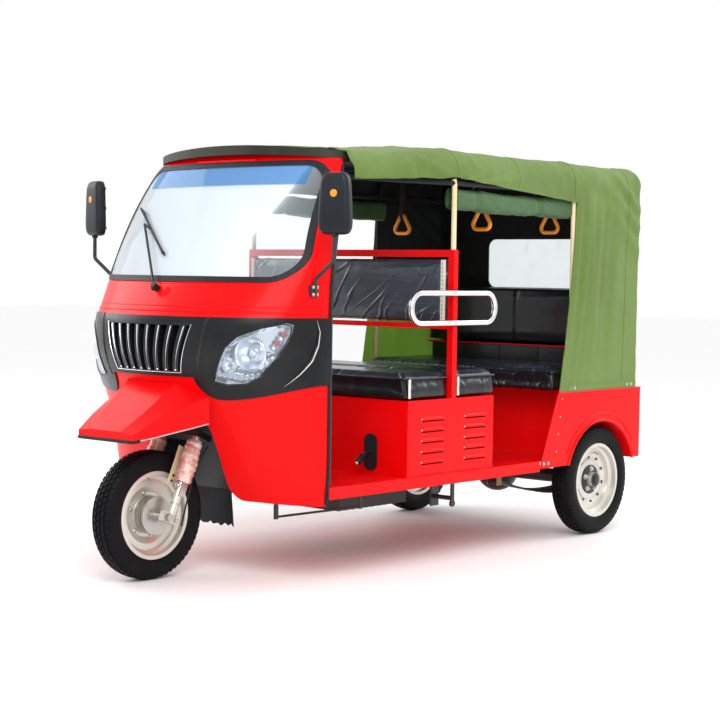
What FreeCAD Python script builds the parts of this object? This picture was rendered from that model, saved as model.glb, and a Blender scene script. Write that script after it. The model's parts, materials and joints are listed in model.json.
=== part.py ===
import FreeCAD, Part
import math
import os

# Passenger auto rickshaw: one steered front wheel, two rear wheels, red steel cab and tub,
# canvas canopy on a tube frame. Millimetres, +X forward, +Y to the left, +Z up.
# The origin is on the ground under the middle of the vehicle's length and width.
# Names ending in _back are stations measured backwards from the front axle.

os.makedirs("parts", exist_ok=True)

V = FreeCAD.Vector

# driving dimensions
wheelbase = 2324.5
wheel_inset = 64.0
tyre_r = 257.5
tyre_half_w = 52.0
rim_r = 166.5
rear_overhang = 335.5
body_half_w = 610.0
side_step = 10.0
floor_z = 385.0
floor_t = 4.0
sheet_t = 4.0
cab_wall_t = 8.0
sill_h = 48.0
belt_z = 1068.0
tub_top_z = 692.0
crown_z = 1790.0
cloth_t = 6.0
tail_lamp_t = 8.0
tube_r = 12.5
post_tube_r = 11.0
seat_gap = 0.3
fit_gap = 0.3
move_gap = 6.0
overrun = 20.0

# where the wheels stand
front_x = (wheelbase + rear_overhang + tail_lamp_t - tyre_r) / 2
rear_x = front_x - wheelbase
rear_wheel_y = body_half_w - wheel_inset
tail_x = rear_x - rear_overhang

# cab
cab_back = 390.0
top_lean = 171.0
edge_run = 12.0
cab_nose = 430.0
nose_rake = 437.0
cab_half_w = body_half_w - side_step
cab_base_half_w = cab_half_w - side_step
cab_base_z = 312.0
cab_top_z = 1702.0
top_taper = 97.0
upper_steps = 6
# one pair per section of the lower cab: share of the height to the belt, share of the nose depth
lower_nose_shares = [(0.0, 0.30), (0.1, 0.37), (0.22, 0.46), (0.35, 0.57), (0.47, 0.70),
                     (0.58, 0.83), (0.68, 0.93), (0.79, 0.985), (0.9, 0.985), (1.0, 0.92)]
arch_half_w = 200.0
arch_top_z = 640.0
arch_corner_r = 45.0
arch_flare_r = 70.0

# windscreen, its outline seen from the front
screen_low_z = 1196.0
screen_high_z = 1664.0
screen_low_half_w = cab_half_w - side_step * 3
screen_high_half_w = screen_low_half_w - top_taper * 0.59
screen_corner_r = 105.0
glass_t = 5.0
seal_w = 22.0
seal_proud = 5.0

# roof lip over the windscreen
lip_reach = 36.0
lip_t = 25.0
roof_crown = 30.0
roof_top_crown = 14.0

# mask with the grille and lamps
mask_proud = 7.0
mask_top_z = 1050.0
mask_low_z = 727.0
mask_rise = 87.0
# low edge of the mask beside the grille: share of the cab's half width, share of the rise over the lowest point
mask_edge_shares = [(0.388, 1.0), (0.405, 0.55), (0.455, 0.14), (0.567, 0.0), (0.70, 0.10), (0.85, 0.33),
                    (1.033, 0.78)]
grille_top_z = 1025.0
grille_low_z = 826.0
grille_top_share = 0.413
grille_low_share = 0.317
grille_top_half_w = cab_half_w * grille_top_share
grille_low_half_w = cab_half_w * grille_low_share
grille_frame_w = 9.0
grille_depth = 34.0
slat_count = 8
slat_w = 26.0
slat_t = 7.0
lamp_depth = 60.0
lens_t = 6.0
lamp_inner_share = 0.525
lamp_outer_share = 0.942
lamp_inner_y = cab_half_w * lamp_inner_share
lamp_outer_y = cab_half_w * lamp_outer_share
lamp_low_z = 787.0
lamp_high_z = 1031.0
# lamp outline seen from the front: shares of the lamp's width and height from its inner low tip
lamp_outline_shares = [(0.0, 0.05), (0.07, 0.23), (0.23, 0.6), (0.4, 0.79), (0.7, 0.93), (0.93, 1.0), (1.0, 0.97),
                       (0.99, 0.84), (0.95, 0.67), (0.86, 0.43), (0.66, 0.14), (0.47, 0.02), (0.2, 0.0)]

# box round the front wheel and its flap; the flap's torn lower edge in shares of its width and notch height
well_t = 4.0
well_back = 352.0
flap_half_w = 125.0
flap_top_share = 0.85
flap_low_z = 182.0
flap_t = 5.0
flap_notch_h = 16.0
flap_edge_shares = [(-1.0, 0.0), (-0.86, 0.9), (-0.74, 0.1), (-0.55, 0.7), (-0.42, 0.2), (-0.2, 0.3), (-0.08, 1.0),
                    (0.06, 0.2), (0.3, 0.6), (0.42, 0.0), (0.6, 0.9), (0.78, 0.3), (0.9, 1.0), (1.0, 0.1)]

# dashboard and its pod
dash_rear_back = 178.0
dash_top_z = 1130.0
dash_low_z = 1000.0
pod_rear_back = 244.0
pod_top_z = 1168.0

# windscreen wiper; offsets across as shares of the cab's half width
wiper_y = -8.0
wiper_z = 1152.0
wiper_boss_r = 13.0
wiper_boss_l = 34.0
wiper_knee = 29.0
wiper_stand = 17.0
wiper_tip_share = -0.503
wiper_tip_z = 1405.0
blade_high_share = -0.673
blade_high_z = 1474.0
blade_low_share = -0.123
blade_low_z = 1288.0
blade_r = 5.0

# mirrors
mirror_reach = 92.0
mirror_y = body_half_w + mirror_reach
mirror_x_back = 308.0
mirror_low_z = 1372.0
mirror_high_z = 1610.0
mirror_w = 142.0
mirror_top_w = 116.0
mirror_depth = 42.0
mirror_corner_r = 32.0
mirror_turn = 15.0
mirror_mount_z = 1156.0
mirror_mount_back = 318.0
mirror_plate_h = 44.0
mirror_plate_w = 34.0
mirror_plate_t = 12.0
mirror_knee_z = 1275.0
arm_r = 8.0
arm_bend = 20.0

# front mudguard: a hood from the mask down to a lip over the tyre
guard_t = 5.0
guard_lip_ahead = 222.0
guard_length = 307.0
guard_lip_half_w = 160.0
guard_spread = 98.0
guard_lip_low_z = 569.0
guard_low_rise = 61.0
guard_lip_ridge_z = 598.0
guard_ridge_rise = 140.0
guard_lip_top_z = 606.0
guard_top_rise = 220.0
# one row per section from the lip to the cab: shares of the length, of the spread, of the rises of the low edge,
# the side ridge and the top, and the top's half width as a share of the section's
guard_shares = [(0.0, 0.0, 0.0, 0.0, 0.0, 0.56), (0.30, 0.286, 0.246, 0.386, 0.30, 0.60),
                (0.593, 0.571, 0.557, 0.686, 0.632, 0.61), (0.788, 0.776, 0.754, 0.843, 0.836, 0.61),
                (1.0, 1.0, 1.0, 1.0, 1.0, 0.62)]

# steering: offsets and heights along the raked axis from its foot
fork_rake = 24.0
axle_lead = 25.0
stem_back = 30.0
leg_y = 105.0
leg_r = 19.0
lug_half_w = 15.0
stanchion_r = 15.0
slider_top = 152.0
boot_r = 38.0
boot_top = 330.0
boot_pitch = 15.0
boot_groove = 4.0
yoke_z = 345.0
yoke_t = 26.0
yoke_rear = 31.0
head_low_z = 378.0
head_high_z = 560.0
stem_r = 17.0
stem_top_z = 800.0
head_tube_r = 27.0
axle_r = 8.0
brace_r = 16.0
brace_bend = 60.0
brace_y = 62.0
brace_back = 402.0
brace_foot_t = 5.0
brace_foot_half = 38.0
bar_half_w = 300.0
bar_rise = 60.0
bar_bend = 25.0
bar_inner_y = 75.0
bar_knee_y = 165.0
bar_knee_rise = 42.0
bar_knee_back = 36.0
clamp_r = 25.0
grip_r = 16.0
grip_l = 120.0
axle_nut_r = 16.0
axle_nut_t = 12.0
spacer_r = 14.0

# wheels
brake_r = 72.0
brake_half_w = 40.0
brake_nose_r = 32.0
rim_half_w = 45.0
rim_t = 6.0
bead_gap = 0.3
# tyre section from the bead: share of the way from the rim to the tread, share of the half width
tyre_wall_shares = [(0.066, 0.75), (0.30, 0.97), (0.62, 1.0), (0.86, 0.93), (0.96, 0.72), (1.0, 0.30)]
# wheel disc: shares of its outer radius where it steps out
disc_flat_share = 0.62
disc_step_share = 0.80
front_hub_r = 65.0
hub_r = 34.0
hub_disc_r = 30.0
stud_ring_r = 51.0
stud_count = 5
stud_first = 18.0
rear_brake_r = 95.0
rear_axle_r = 16.0

# rear axle and springs
axle_tube_r = 33.0
diff_r = 105.0
diff_nose_r = 43.0
diff_nose_l = 200.0
spring_front_back = 1760.0
spring_rear_back = 2605.0
spring_inset = 146.0
spring_y = rear_wheel_y - spring_inset
spring_w = 50.0
leaf_t = 7.0
leaf_shares = (1.0, 0.84, 0.68, 0.52, 0.36)
eye_r = 18.0

# chassis rails
rail_inset = 165.0
rail_y = spring_y - rail_inset
rail_w = 40.0
rail_h = 60.0

# engine block and the floor's step into the cab
engine_front_back = 930.0
engine_rear_back = 1380.0
engine_clear = 45.0
engine_half_w = rail_y - engine_clear
engine_low_z = 200.0
engine_high_z = 610.0
foot_reach = 110.0

# driver's box, bench and backrest
box_front_back = 887.0
box_rear_back = 1475.0
box_half_w = body_half_w - side_step
box_top_z = 702.0
louvre_backs = (982.0, 1273.0)
louvre_rows = 5
louvre_w = 148.0
louvre_h = 5.0
louvre_pitch = 45.0
louvre_low_z = 430.0
slot_inset = 197.0
slot_y = box_half_w - slot_inset
slot_z = 477.0
slot_w = 34.0
slot_h = 120.0
slot_round_r = 16.0
slot_frame_r = 32.0
lever_reach = 82.0
lever_bend = 10.0
cushion_top_z = 812.0
cushion_edge_r = 28.0
post_back = 1180.0
post_size = 30.0
back_low_z = 995.0
back_rail_h = 21.0
back_high_z = 1331.0
pad_low_z = back_low_z + back_rail_h + seat_gap
pad_half_w = body_half_w - post_size - seat_gap
pad_t = 46.0
loop_front_back = 873.0
loop_rear_back = 1441.0
loop_low_z = 1022.0
loop_high_z = 1148.0
loop_round_r = 61.5

# rear tub and bench
tub_front_top_back = 1960.0
tub_front_low_back = 1823.0
tub_low_z = 350.0
wheel_arch_r = 281.0
wheel_side_gap = 16.0
bench_front_back = 2110.0
bench_half_w = rear_wheel_y - tyre_half_w - wheel_side_gap
rear_cushion_front_back = 1960.0
rear_cushion_top_z = 802.0
rear_back_low_z = 880.0
rear_back_high_z = 1175.0
rear_back_back = 2455.0
rear_pad_t = 64.0
rear_pad_inset = 35.0
rear_pad_half_w = body_half_w - rear_pad_inset
backrest_tube_r = 12.5
backrest_tube_inset = 180.0
backrest_tube_y = body_half_w - backrest_tube_inset
plate_z = 470.0
plate_spacing = 150.0
plate_hole_r = 3.5
tail_lamp_w = 108.0
tail_lamp_h = 96.0
tail_lamp_low_z = 494.0

# canopy
canopy_front_back = 590.0
canopy_rear_back = 2626.0
cloth_overhang = 2.0
canopy_half_w = body_half_w + cloth_overhang
canopy_draw_in = 56.0
canopy_front_half_w = canopy_half_w - canopy_draw_in
canopy_front_crown_z = 1756.0
canopy_front_low_z = 1600.0
eave_z = 1632.0
shoulder_r = 130.0
shoulder_mid_in = 32.5
shoulder_mid_up = 28.6
crown_drop = 26.0
side_low_z = 1512.0
side_cover_front_back = 2075.0
hem_front_back = 1968.0
hem_z = tub_top_z + fit_gap
window_half_w = 300.0
window_low_z = 1165.0
window_high_z = 1412.0
window_corner_r = 43.0
roll_front_back = 1204.0
roll_rear_back = 2060.0
roll_r = 40.0

# canopy frame; heights of the cab bow's bends as shares of the upper cab, the last just under the roof
rear_post_back = 2073.0
rail_tube_r = 9.0
bow_drop = 62.0
bow_bend_shares = (0.0, 0.33, 0.66, 0.93)

# grab handles and their straps
handle_inset = 160.0
handle_y = body_half_w - handle_inset
handle_w = 126.0
handle_h = 108.0
handle_r = 9.0
handle_corner_r = 22.0
handle_backs = (1564.0, 2092.0)
handle_drop = 252.0
handle_top_z = crown_z - handle_drop
strap_w = 18.0
strap_t = 3.0

# cross members and tow eye
cross_h = 45.0
rail_low_z = floor_z - floor_t - fit_gap - rail_h
cross_backs = (412.0, 827.0, 1495.0, 2070.0, 2560.0)
mount_inset = 90.0
eye_setback = 34.0
eye_bore_r = 11.0
eye_t = 10.0
tongue_half_w = 24.0

# brake linkage
link_clear = 75.0
link_y = rail_y + rail_w + link_clear
link_front_back = 371.0
link_rear_back = 882.0
link_front_z = 247.0
link_rear_z = 241.0
link_r = 5.0
lever_half_w = 9.0
brake_lever_back = 1257.0
brake_lever_inset = 60.0
brake_lever_y = body_half_w - brake_lever_inset
brake_lever_z = 240.0
brake_shaft_r = 10.0
brake_shaft_z = 262.0
brake_shaft_l = 100.0
brake_bracket_low_z = 221.0
brake_bracket_half = 26.0
brake_eye_r = 15.0


def place(back):
    # station along the vehicle, measured backwards from the front axle
    return front_x - back


def block(x0, x1, y0, y1, z0, z1):
    return Part.makeBox(x1 - x0, y1 - y0, z1 - z0, V(x0, y0, z0))


def rod(start, end, r):
    span = end - start
    return Part.makeCylinder(r, span.Length, start, span)


def flipped(shape):
    return shape.mirror(V(0, 0, 0), V(0, 1, 0))


def both_sides(shape):
    return [shape, flipped(shape)]


def fuse(shapes):
    result = shapes[0]
    if len(shapes) > 1:
        result = result.fuse(shapes[1:])
    return result.removeSplitter()


def polygon(points):
    return Part.makePolygon(points + points[:1])


def prism_y(points, y0, y1):
    # outline in the side view, swept across the vehicle
    face = Part.Face(polygon([V(x, y0, z) for x, z in points]))
    return face.extrude(V(0, y1 - y0, 0))


def prism_x(points, x0, x1):
    # outline in the front view, swept along the vehicle
    face = Part.Face(polygon([V(x0, y, z) for y, z in points]))
    return face.extrude(V(x1 - x0, 0, 0))


def rounded_wire(points, radii):
    # closed outline with an arc of its own radius at each corner
    edges = []
    ends = []
    count = len(points)
    for i, point in enumerate(points):
        before = (points[i - 1] - point).normalize()
        after = (points[(i + 1) % count] - point).normalize()
        half = before.getAngle(after) / 2
        reach = radii[i] / math.tan(half)
        middle = (before + after).normalize() * (radii[i] / math.sin(half) - radii[i])
        ends.append((point + before * reach, point + middle, point + after * reach))
    for i in range(count):
        start, mid, end = ends[i]
        if radii[i] > 0:
            edges.append(Part.Arc(start, mid, end).toShape())
        edges.append(Part.LineSegment(end, ends[(i + 1) % count][0]).toShape())
    return Part.Wire(edges)


def rounded_prism_x(points, radius, x0, x1):
    wire = rounded_wire([V(x0, y, z) for y, z in points], [radius] * len(points))
    return Part.Face(wire).extrude(V(x1 - x0, 0, 0))


def rounded_prism_y(points, radius, y0, y1):
    wire = rounded_wire([V(x, y0, z) for x, z in points], [radius] * len(points))
    return Part.Face(wire).extrude(V(0, y1 - y0, 0))


def bent_tube(points, bend, r):
    # round tube along straight runs joined by tangent arcs
    edges = []
    start = points[0]
    for i in range(1, len(points) - 1):
        corner = points[i]
        before = (points[i - 1] - corner).normalize()
        after = (points[i + 1] - corner).normalize()
        half = before.getAngle(after) / 2
        reach = bend / math.tan(half)
        middle = (before + after).normalize() * (bend / math.sin(half) - bend)
        edges.append(Part.LineSegment(start, corner + before * reach).toShape())
        edges.append(Part.Arc(corner + before * reach, corner + middle, corner + after * reach).toShape())
        start = corner + after * reach
    edges.append(Part.LineSegment(start, points[-1]).toShape())
    path = Part.Wire(edges)
    ring = Part.Wire(Part.makeCircle(r, points[0], points[1] - points[0]))
    return path.makePipeShell([ring], True, False)


def revolved(profile, middle, axis):
    # profile pairs: distance from the axis, distance along it
    side = V(0, 0, 1)
    points = [middle + side * r + axis * a for r, a in profile]
    return Part.Face(polygon(points)).revolve(middle, axis, 360)


def save(node, shapes):
    shape = shapes[0] if len(shapes) == 1 else Part.makeCompound(shapes)
    if not shape.isValid():
        print("not valid:", node)
    shape.exportStep("parts/" + node + ".step")


# cab panels

def half_ellipse(z, centre_x, nose, half_w, side):
    # round the nose from one side to the other; side 1 starts at the left
    pull = 4 / 3 * (math.sqrt(2) - 1)
    places = [(0, 1), (pull, 1), (1, pull), (1, -pull), (pull, -1), (0, -1)]
    poles = [V(centre_x + nose * x, half_w * y * side, z) for x, y in places]
    curve = Part.BSplineCurve()
    curve.buildFromPolesMultsKnots(poles, [4, 2, 4], [0, 1, 2], False, 3)
    return curve.toShape()


def plan_wire(z, centre_x, nose, half_w, back_x):
    # D shape in plan: a half ellipse in front of straight sides
    corners = [V(centre_x, -half_w, z), V(back_x, -half_w, z), V(back_x, half_w, z), V(centre_x, half_w, z)]
    lines = [Part.LineSegment(corners[i], corners[i + 1]).toShape() for i in range(3)]
    return Part.Wire([half_ellipse(z, centre_x, nose, half_w, 1)] + lines)


def band_wire(z, section, low_grow, high_grow, back_x):
    # U shape in plan between two offsets of the D shape
    centre_x, nose, half_w = section
    high = half_w + high_grow
    low = half_w + low_grow
    right = [V(centre_x, -high, z), V(back_x, -high, z), V(back_x, -low, z), V(centre_x, -low, z)]
    left = [V(centre_x, low, z), V(back_x, low, z), V(back_x, high, z), V(centre_x, high, z)]
    edges = [half_ellipse(z, centre_x, nose + high_grow, high, 1)]
    edges += [Part.LineSegment(right[i], right[i + 1]).toShape() for i in range(3)]
    edges.append(half_ellipse(z, centre_x, nose + low_grow, low, -1))
    edges += [Part.LineSegment(left[i], left[i + 1]).toShape() for i in range(3)]
    return Part.Wire(edges)


def lower_sections():
    # height, ellipse centre, nose depth and half width of each section up to the belt
    sections = []
    for height, nose in lower_nose_shares:
        half_w = cab_base_half_w + (cab_half_w - cab_base_half_w) * min(1, height / lower_nose_shares[2][0])
        sections.append((cab_base_z + (belt_z - cab_base_z) * height, (place(cab_back), cab_nose * nose, half_w)))
    return sections


def upper_section(z):
    # the screen rakes back evenly, while the sides draw in and the rear edge leans back faster with height
    share = (z - belt_z) / (cab_top_z - belt_z)
    lean = top_lean * share ** 2
    nose = cab_nose * lower_nose_shares[-1][1] - nose_rake * share + lean
    return place(cab_back + lean), nose, cab_half_w - top_taper * share ** 3


def upper_sections():
    heights = [belt_z + (cab_top_z - belt_z) * i / upper_steps for i in range(upper_steps + 1)]
    return [(z, upper_section(z)) for z in heights]


def top_rear_x():
    # rear edge of the cab at its top
    return upper_section(cab_top_z)[0] - edge_run


def lower_wall(low_grow, high_grow):
    wires = [band_wire(z, section, low_grow, high_grow, section[0] - edge_run) for z, section in lower_sections()]
    return Part.makeLoft(wires, True, False)


def upper_wall(low_grow, high_grow):
    wires = [band_wire(z, section, low_grow, high_grow, section[0] - edge_run) for z, section in upper_sections()]
    return Part.makeLoft(wires, True, False)


def lower_form(grow):
    # solid inside an offset of the lower cab
    wires = [plan_wire(z, centre, nose + grow, half_w + grow, centre - edge_run)
             for z, (centre, nose, half_w) in lower_sections()]
    return Part.makeLoft(wires, True, False)


def upper_form(grow):
    wires = [plan_wire(z, centre, nose + grow, half_w + grow, centre - edge_run)
             for z, (centre, nose, half_w) in upper_sections()]
    return Part.makeLoft(wires, True, False)


def screen_outline(grow):
    low = screen_low_z - grow
    high = screen_high_z + grow
    return [(screen_low_half_w + grow, low), (screen_high_half_w + grow, high),
            (-screen_high_half_w - grow, high), (-screen_low_half_w - grow, low)]


def screen_prism(grow):
    return rounded_prism_x(screen_outline(grow), screen_corner_r + grow, place(cab_back + top_lean), place(-cab_nose))


def wheel_opening():
    # arch over the front wheel, its lower corners flared round to the cab's low edge
    x0 = place(cab_back)
    x1 = place(-cab_nose)
    low = cab_base_z - arch_corner_r * 2
    outline = [(arch_half_w, low), (arch_half_w, arch_top_z), (-arch_half_w, arch_top_z), (-arch_half_w, low)]
    arch = rounded_prism_x(outline, arch_corner_r, x0, x1)
    flare_y = arch_half_w + arch_flare_r
    flare_z = cab_base_z + arch_flare_r
    flare = block(x0, x1, arch_half_w - overrun, flare_y, low, flare_z)
    round_off = Part.makeCylinder(arch_flare_r, x1 - x0, V(x0, flare_y, flare_z), V(1, 0, 0))
    flare = flare.cut(round_off)
    return arch.fuse([flare, flipped(flare)])


def cab_shell():
    lower = lower_wall(-cab_wall_t, 0)
    upper = upper_wall(-cab_wall_t, 0).cut(screen_prism(0))
    lower = lower.cut([wheel_opening(), grille_prism(grille_frame_w)] + lamp_prisms(fit_gap))
    return lower.fuse(upper).cut(over_roof_line(0))


def windscreen():
    return upper_wall(-fit_gap - glass_t, -fit_gap).common(screen_prism(-fit_gap))


def windscreen_seal():
    ring = screen_prism(seal_w / 2).cut(screen_prism(-seal_w / 2))
    return upper_wall(fit_gap, seal_proud).common(ring)


def grille_outline(grow):
    return [(grille_low_half_w + grow, grille_low_z - grow), (grille_top_half_w + grow, grille_top_z + grow),
            (-grille_top_half_w - grow, grille_top_z + grow), (-grille_low_half_w - grow, grille_low_z - grow)]


def grille_prism(grow):
    return prism_x(grille_outline(grow), place(cab_back), place(-cab_nose))


def lamp_outline(grow):
    mid_y = (lamp_inner_y + lamp_outer_y) / 2
    mid_z = (lamp_low_z + lamp_high_z) / 2
    width = lamp_outer_y - lamp_inner_y
    height = lamp_high_z - lamp_low_z
    points = []
    for across, up in lamp_outline_shares:
        y = mid_y + (across - 0.5) * (width + grow * 2)
        z = mid_z + (up - 0.5) * (height + grow * 2)
        points.append((y, z))
    return points


def lamp_prisms(grow):
    return both_sides(prism_x(lamp_outline(grow), place(cab_back), place(-cab_nose)))


def mask_edge(grow, side):
    # curved low edge beside the grille, from the side of the cab in to the grille; side 1 is the left
    places = [(cab_half_w * across, mask_low_z + mask_rise * up - grow) for across, up in mask_edge_shares]
    points = [V(place(cab_back) - overrun, y * side, z) for y, z in places]
    curve = Part.BSplineCurve()
    curve.interpolate(points if side < 0 else points[::-1])
    return curve.toShape(), points[0], points[-1]


def mask_prism(grow):
    # outline seen from the front: level under the grille, then down round the lamps and up to the sides
    left, left_in, left_out = mask_edge(grow, 1)
    right, right_in, right_out = mask_edge(grow, -1)
    top = mask_top_z + grow
    left_top = V(left_out.x, left_out.y, top)
    right_top = V(right_out.x, right_out.y, top)
    corners = [(left_in, right_in), (right_out, right_top), (right_top, left_top), (left_top, left_out)]
    lines = [Part.makeLine(start, end) for start, end in corners]
    wire = Part.Wire([left, lines[0], right] + lines[1:])
    return Part.Face(wire).extrude(V(place(-cab_nose) - left_in.x, 0, 0))


def front_mask():
    body = lower_wall(fit_gap, mask_proud).common(mask_prism(0))
    return body.cut([grille_prism(fit_gap)] + lamp_prisms(fit_gap))


def grille():
    # frame round upright slats, deep behind the mask, on a back plate
    wall = lower_wall(mask_proud - grille_depth, mask_proud)
    parts = [wall.common(grille_prism(0).cut(grille_prism(-grille_frame_w)))]
    pitch = 2.0 / slat_count
    for i in range(slat_count):
        share = -1 + pitch * (i + 0.5)
        low_y = share * (grille_low_half_w - grille_frame_w)
        high_y = share * (grille_top_half_w - grille_frame_w)
        points = [(low_y - slat_w / 2, grille_low_z), (low_y + slat_w / 2, grille_low_z),
                  (high_y + slat_w / 2, grille_top_z), (high_y - slat_w / 2, grille_top_z)]
        parts.append(wall.common(prism_x(points, place(cab_back), place(-cab_nose))))
    plate = lower_wall(mask_proud - grille_depth - slat_t, mask_proud - grille_depth)
    parts.append(plate.common(grille_prism(0)))
    return fuse(parts)


def headlamp_bowls():
    # deep tray behind each lens
    shapes = []
    for prism, hollow in zip(lamp_prisms(0), lamp_prisms(-slat_t)):
        tray = lower_wall(-lamp_depth, mask_proud - lens_t - fit_gap).common(prism)
        shapes.append(tray.cut(lower_wall(-lamp_depth + slat_t, mask_proud).common(hollow)))
    return shapes


def headlamp_lenses():
    return [lower_wall(mask_proud - lens_t, mask_proud).common(prism) for prism in lamp_prisms(0)]


def roof_line(rise, crown):
    # crowned line across the cab's top in the front view: left end, middle, right end
    x = place(canopy_rear_back)
    half = cab_half_w + overrun
    return Part.Arc(V(x, half, cab_top_z - roof_crown + rise), V(x, 0, cab_top_z + rise + crown),
                    V(x, -half, cab_top_z - roof_crown + rise)).toShape()


def over_roof_line(rise):
    # everything above the crowned line
    line = roof_line(rise, 0)
    ends = [v.Point for v in (line.Vertexes[0], line.Vertexes[-1])]
    high = V(0, 0, crown_z)
    lines = [Part.makeLine(ends[1], ends[1] + high), Part.makeLine(ends[1] + high, ends[0] + high),
             Part.makeLine(ends[0] + high, ends[0])]
    return Part.Face(Part.Wire([line] + lines)).extrude(V(place(-cab_nose) - place(canopy_rear_back), 0, 0))


def cab_roof():
    # crowned cap that follows the cab's top and overhangs the screen as a lip
    low = roof_line(fit_gap, 0)
    high = roof_line(fit_gap + lip_t, roof_top_crown)
    low_ends = [v.Point for v in (low.Vertexes[0], low.Vertexes[-1])]
    high_ends = [v.Point for v in (high.Vertexes[0], high.Vertexes[-1])]
    lines = [Part.makeLine(low_ends[i], high_ends[i]) for i in range(2)]
    face = Part.Face(Part.Wire([low, lines[1], high, lines[0]]))
    band = face.extrude(V(place(-cab_nose) - place(canopy_rear_back), 0, 0))
    centre, nose, half_w = upper_section(cab_top_z)
    plan = plan_wire(cab_top_z - lip_t * 3, centre, nose + lip_reach, half_w + lip_reach / 3,
                     place(canopy_front_back) + fit_gap)
    return band.common(Part.Face(plan).extrude(V(0, 0, lip_t * 6)))


def wheel_well():
    # box behind the front wheel that closes the footwell off from the road
    half = arch_half_w - move_gap
    top = arch_top_z + well_t
    outer = block(place(well_back), place(-cab_nose), -half - well_t, half + well_t, floor_z - sill_h, top)
    inner = block(place(well_back) + well_t, place(-cab_nose) + overrun, -half, half,
                  floor_z - sill_h - overrun, top - well_t)
    box = outer.cut(inner).common(lower_form(-cab_wall_t - fit_gap))
    stem_hole = in_fork_frame(Part.makeCylinder(head_tube_r + fit_gap, cab_top_z))
    return box.cut(stem_hole)


def mudflap():
    x = place(well_back) - fit_gap
    top_half_w = flap_half_w * flap_top_share
    top = floor_z - overrun
    points = [(flap_half_w * across, flap_low_z + flap_notch_h * up) for across, up in flap_edge_shares]
    return prism_x(points + [(top_half_w, top), (-top_half_w, top)], x - flap_t, x)


def dashboard():
    # shallow shelf under the screen with a raised pod for the instruments
    points = [(place(-cab_nose), dash_low_z), (place(dash_rear_back), dash_low_z + overrun),
              (place(dash_rear_back) + overrun, dash_top_z), (place(-cab_nose), dash_top_z)]
    shape = prism_y(points, -cab_half_w, cab_half_w)
    inside = lower_form(-lamp_depth - fit_gap).fuse(upper_form(-cab_wall_t - fit_gap))
    pod_front = place(dash_rear_back) + sill_h
    pod_rear = place(pod_rear_back)
    pod = rounded_prism_y([(pod_front, dash_top_z - sill_h), (pod_rear, dash_top_z - sill_h),
                           (pod_rear, pod_top_z), (pod_front, pod_top_z - overrun)],
                          overrun / 2, -arch_half_w / 2, arch_half_w / 2)
    return fuse([shape.common(inside), pod])


def screen_point(y, z, proud):
    # point on the screen at a height and an offset across, and so far out along its slope
    centre, nose, half_w = upper_section(z)
    rake = math.atan2(nose_rake, cab_top_z - belt_z)
    x = centre + nose * math.sqrt(1 - (y / half_w) ** 2)
    return V(x + proud * math.cos(rake), y, z + proud * math.sin(rake))


def wiper():
    # boss on the panel below the screen, arm up to the middle of the blade
    boss = rod(screen_point(wiper_y, wiper_z, fit_gap * 2), screen_point(wiper_y, wiper_z, wiper_boss_l), wiper_boss_r)
    knee = screen_point(wiper_y, wiper_z, wiper_knee)
    tip = screen_point(cab_half_w * wiper_tip_share, wiper_tip_z, wiper_stand + blade_r)
    low = screen_point(cab_half_w * blade_low_share, blade_low_z, wiper_stand)
    high = screen_point(cab_half_w * blade_high_share, blade_high_z, wiper_stand + blade_r)
    return fuse([boss, rod(knee, tip, blade_r), rod(low, high, blade_r), rod(tip, (low + high) * 0.5, blade_r)])


def mirror_heads():
    # tapered shells, each turned to face the driver
    x = place(mirror_x_back)
    outline = [(mirror_y - mirror_w / 2, mirror_low_z), (mirror_y + mirror_w / 2, mirror_low_z),
               (mirror_y + mirror_top_w / 2, mirror_high_z), (mirror_y - mirror_top_w / 2, mirror_high_z)]
    body = rounded_prism_x(outline, mirror_corner_r, x - mirror_depth / 2, x + mirror_depth / 2)
    body.rotate(V(x, mirror_y, 0), V(0, 0, 1), mirror_turn)
    return both_sides(body)


def mirror_arms():
    # clamp plate on the cab's side, seated on the curved panel, and a bent tube up to the head
    centre, nose, half_w = upper_section(mirror_mount_z)
    x = place(mirror_mount_back)
    y = half_w * math.sqrt(1 - ((x - centre) / nose) ** 2)
    plate = block(x - mirror_plate_w / 2, x + mirror_plate_w / 2, y - mirror_plate_t * 2, y + mirror_plate_t,
                  mirror_mount_z - mirror_plate_h / 2, mirror_mount_z + mirror_plate_h / 2)
    foot = V(x, y + mirror_plate_t, mirror_mount_z - mirror_plate_h / 2)
    head_x = place(mirror_x_back)
    points = [foot, V(x, y + mirror_plate_t, mirror_mount_z + mirror_plate_h),
              V(head_x, mirror_y, mirror_knee_z), V(head_x, mirror_y, mirror_low_z - fit_gap)]
    arm = bent_tube(points, arm_bend, arm_r)
    return both_sides(fuse([plate, arm]).cut(upper_form(fit_gap)))


def guard_form(shrink, drop):
    wires = []
    for along, spread, low_up, ridge_up, top_up, top_share in guard_shares:
        x = place(guard_length * along - guard_lip_ahead)
        half_w = guard_lip_half_w + guard_spread * spread
        w = half_w - shrink
        top_w = half_w * top_share
        low = guard_lip_low_z + guard_low_rise * low_up - drop
        ridge = guard_lip_ridge_z + guard_ridge_rise * ridge_up - shrink
        top = guard_lip_top_z + guard_top_rise * top_up - shrink
        points = [(w, low), (w, ridge), (top_w, top), (-top_w, top), (-w, ridge), (-w, low)]
        wires.append(polygon([V(x, y, z) for y, z in points]))
    return Part.makeLoft(wires, True, True)


def front_mudguard():
    # welded to the cab's nose, its rear edge just under the mask
    hood = guard_form(0, 0).cut(guard_form(guard_t, overrun).translated(V(-guard_t, 0, 0)))
    behind_mask = lower_form(mask_proud + fit_gap).common(mask_prism(fit_gap))
    return hood.cut([lower_form(fit_gap), behind_mask])


# steering, built upright about its axis and then raked

def in_fork_frame(shape):
    # the axis leans back; its foot is level with the axle, behind it by the lead and the stem's offset
    turned = shape.copy()
    turned.rotate(V(0, 0, 0), V(0, 1, 0), -fork_rake)
    turned.translate(steering_foot())
    return turned


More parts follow.
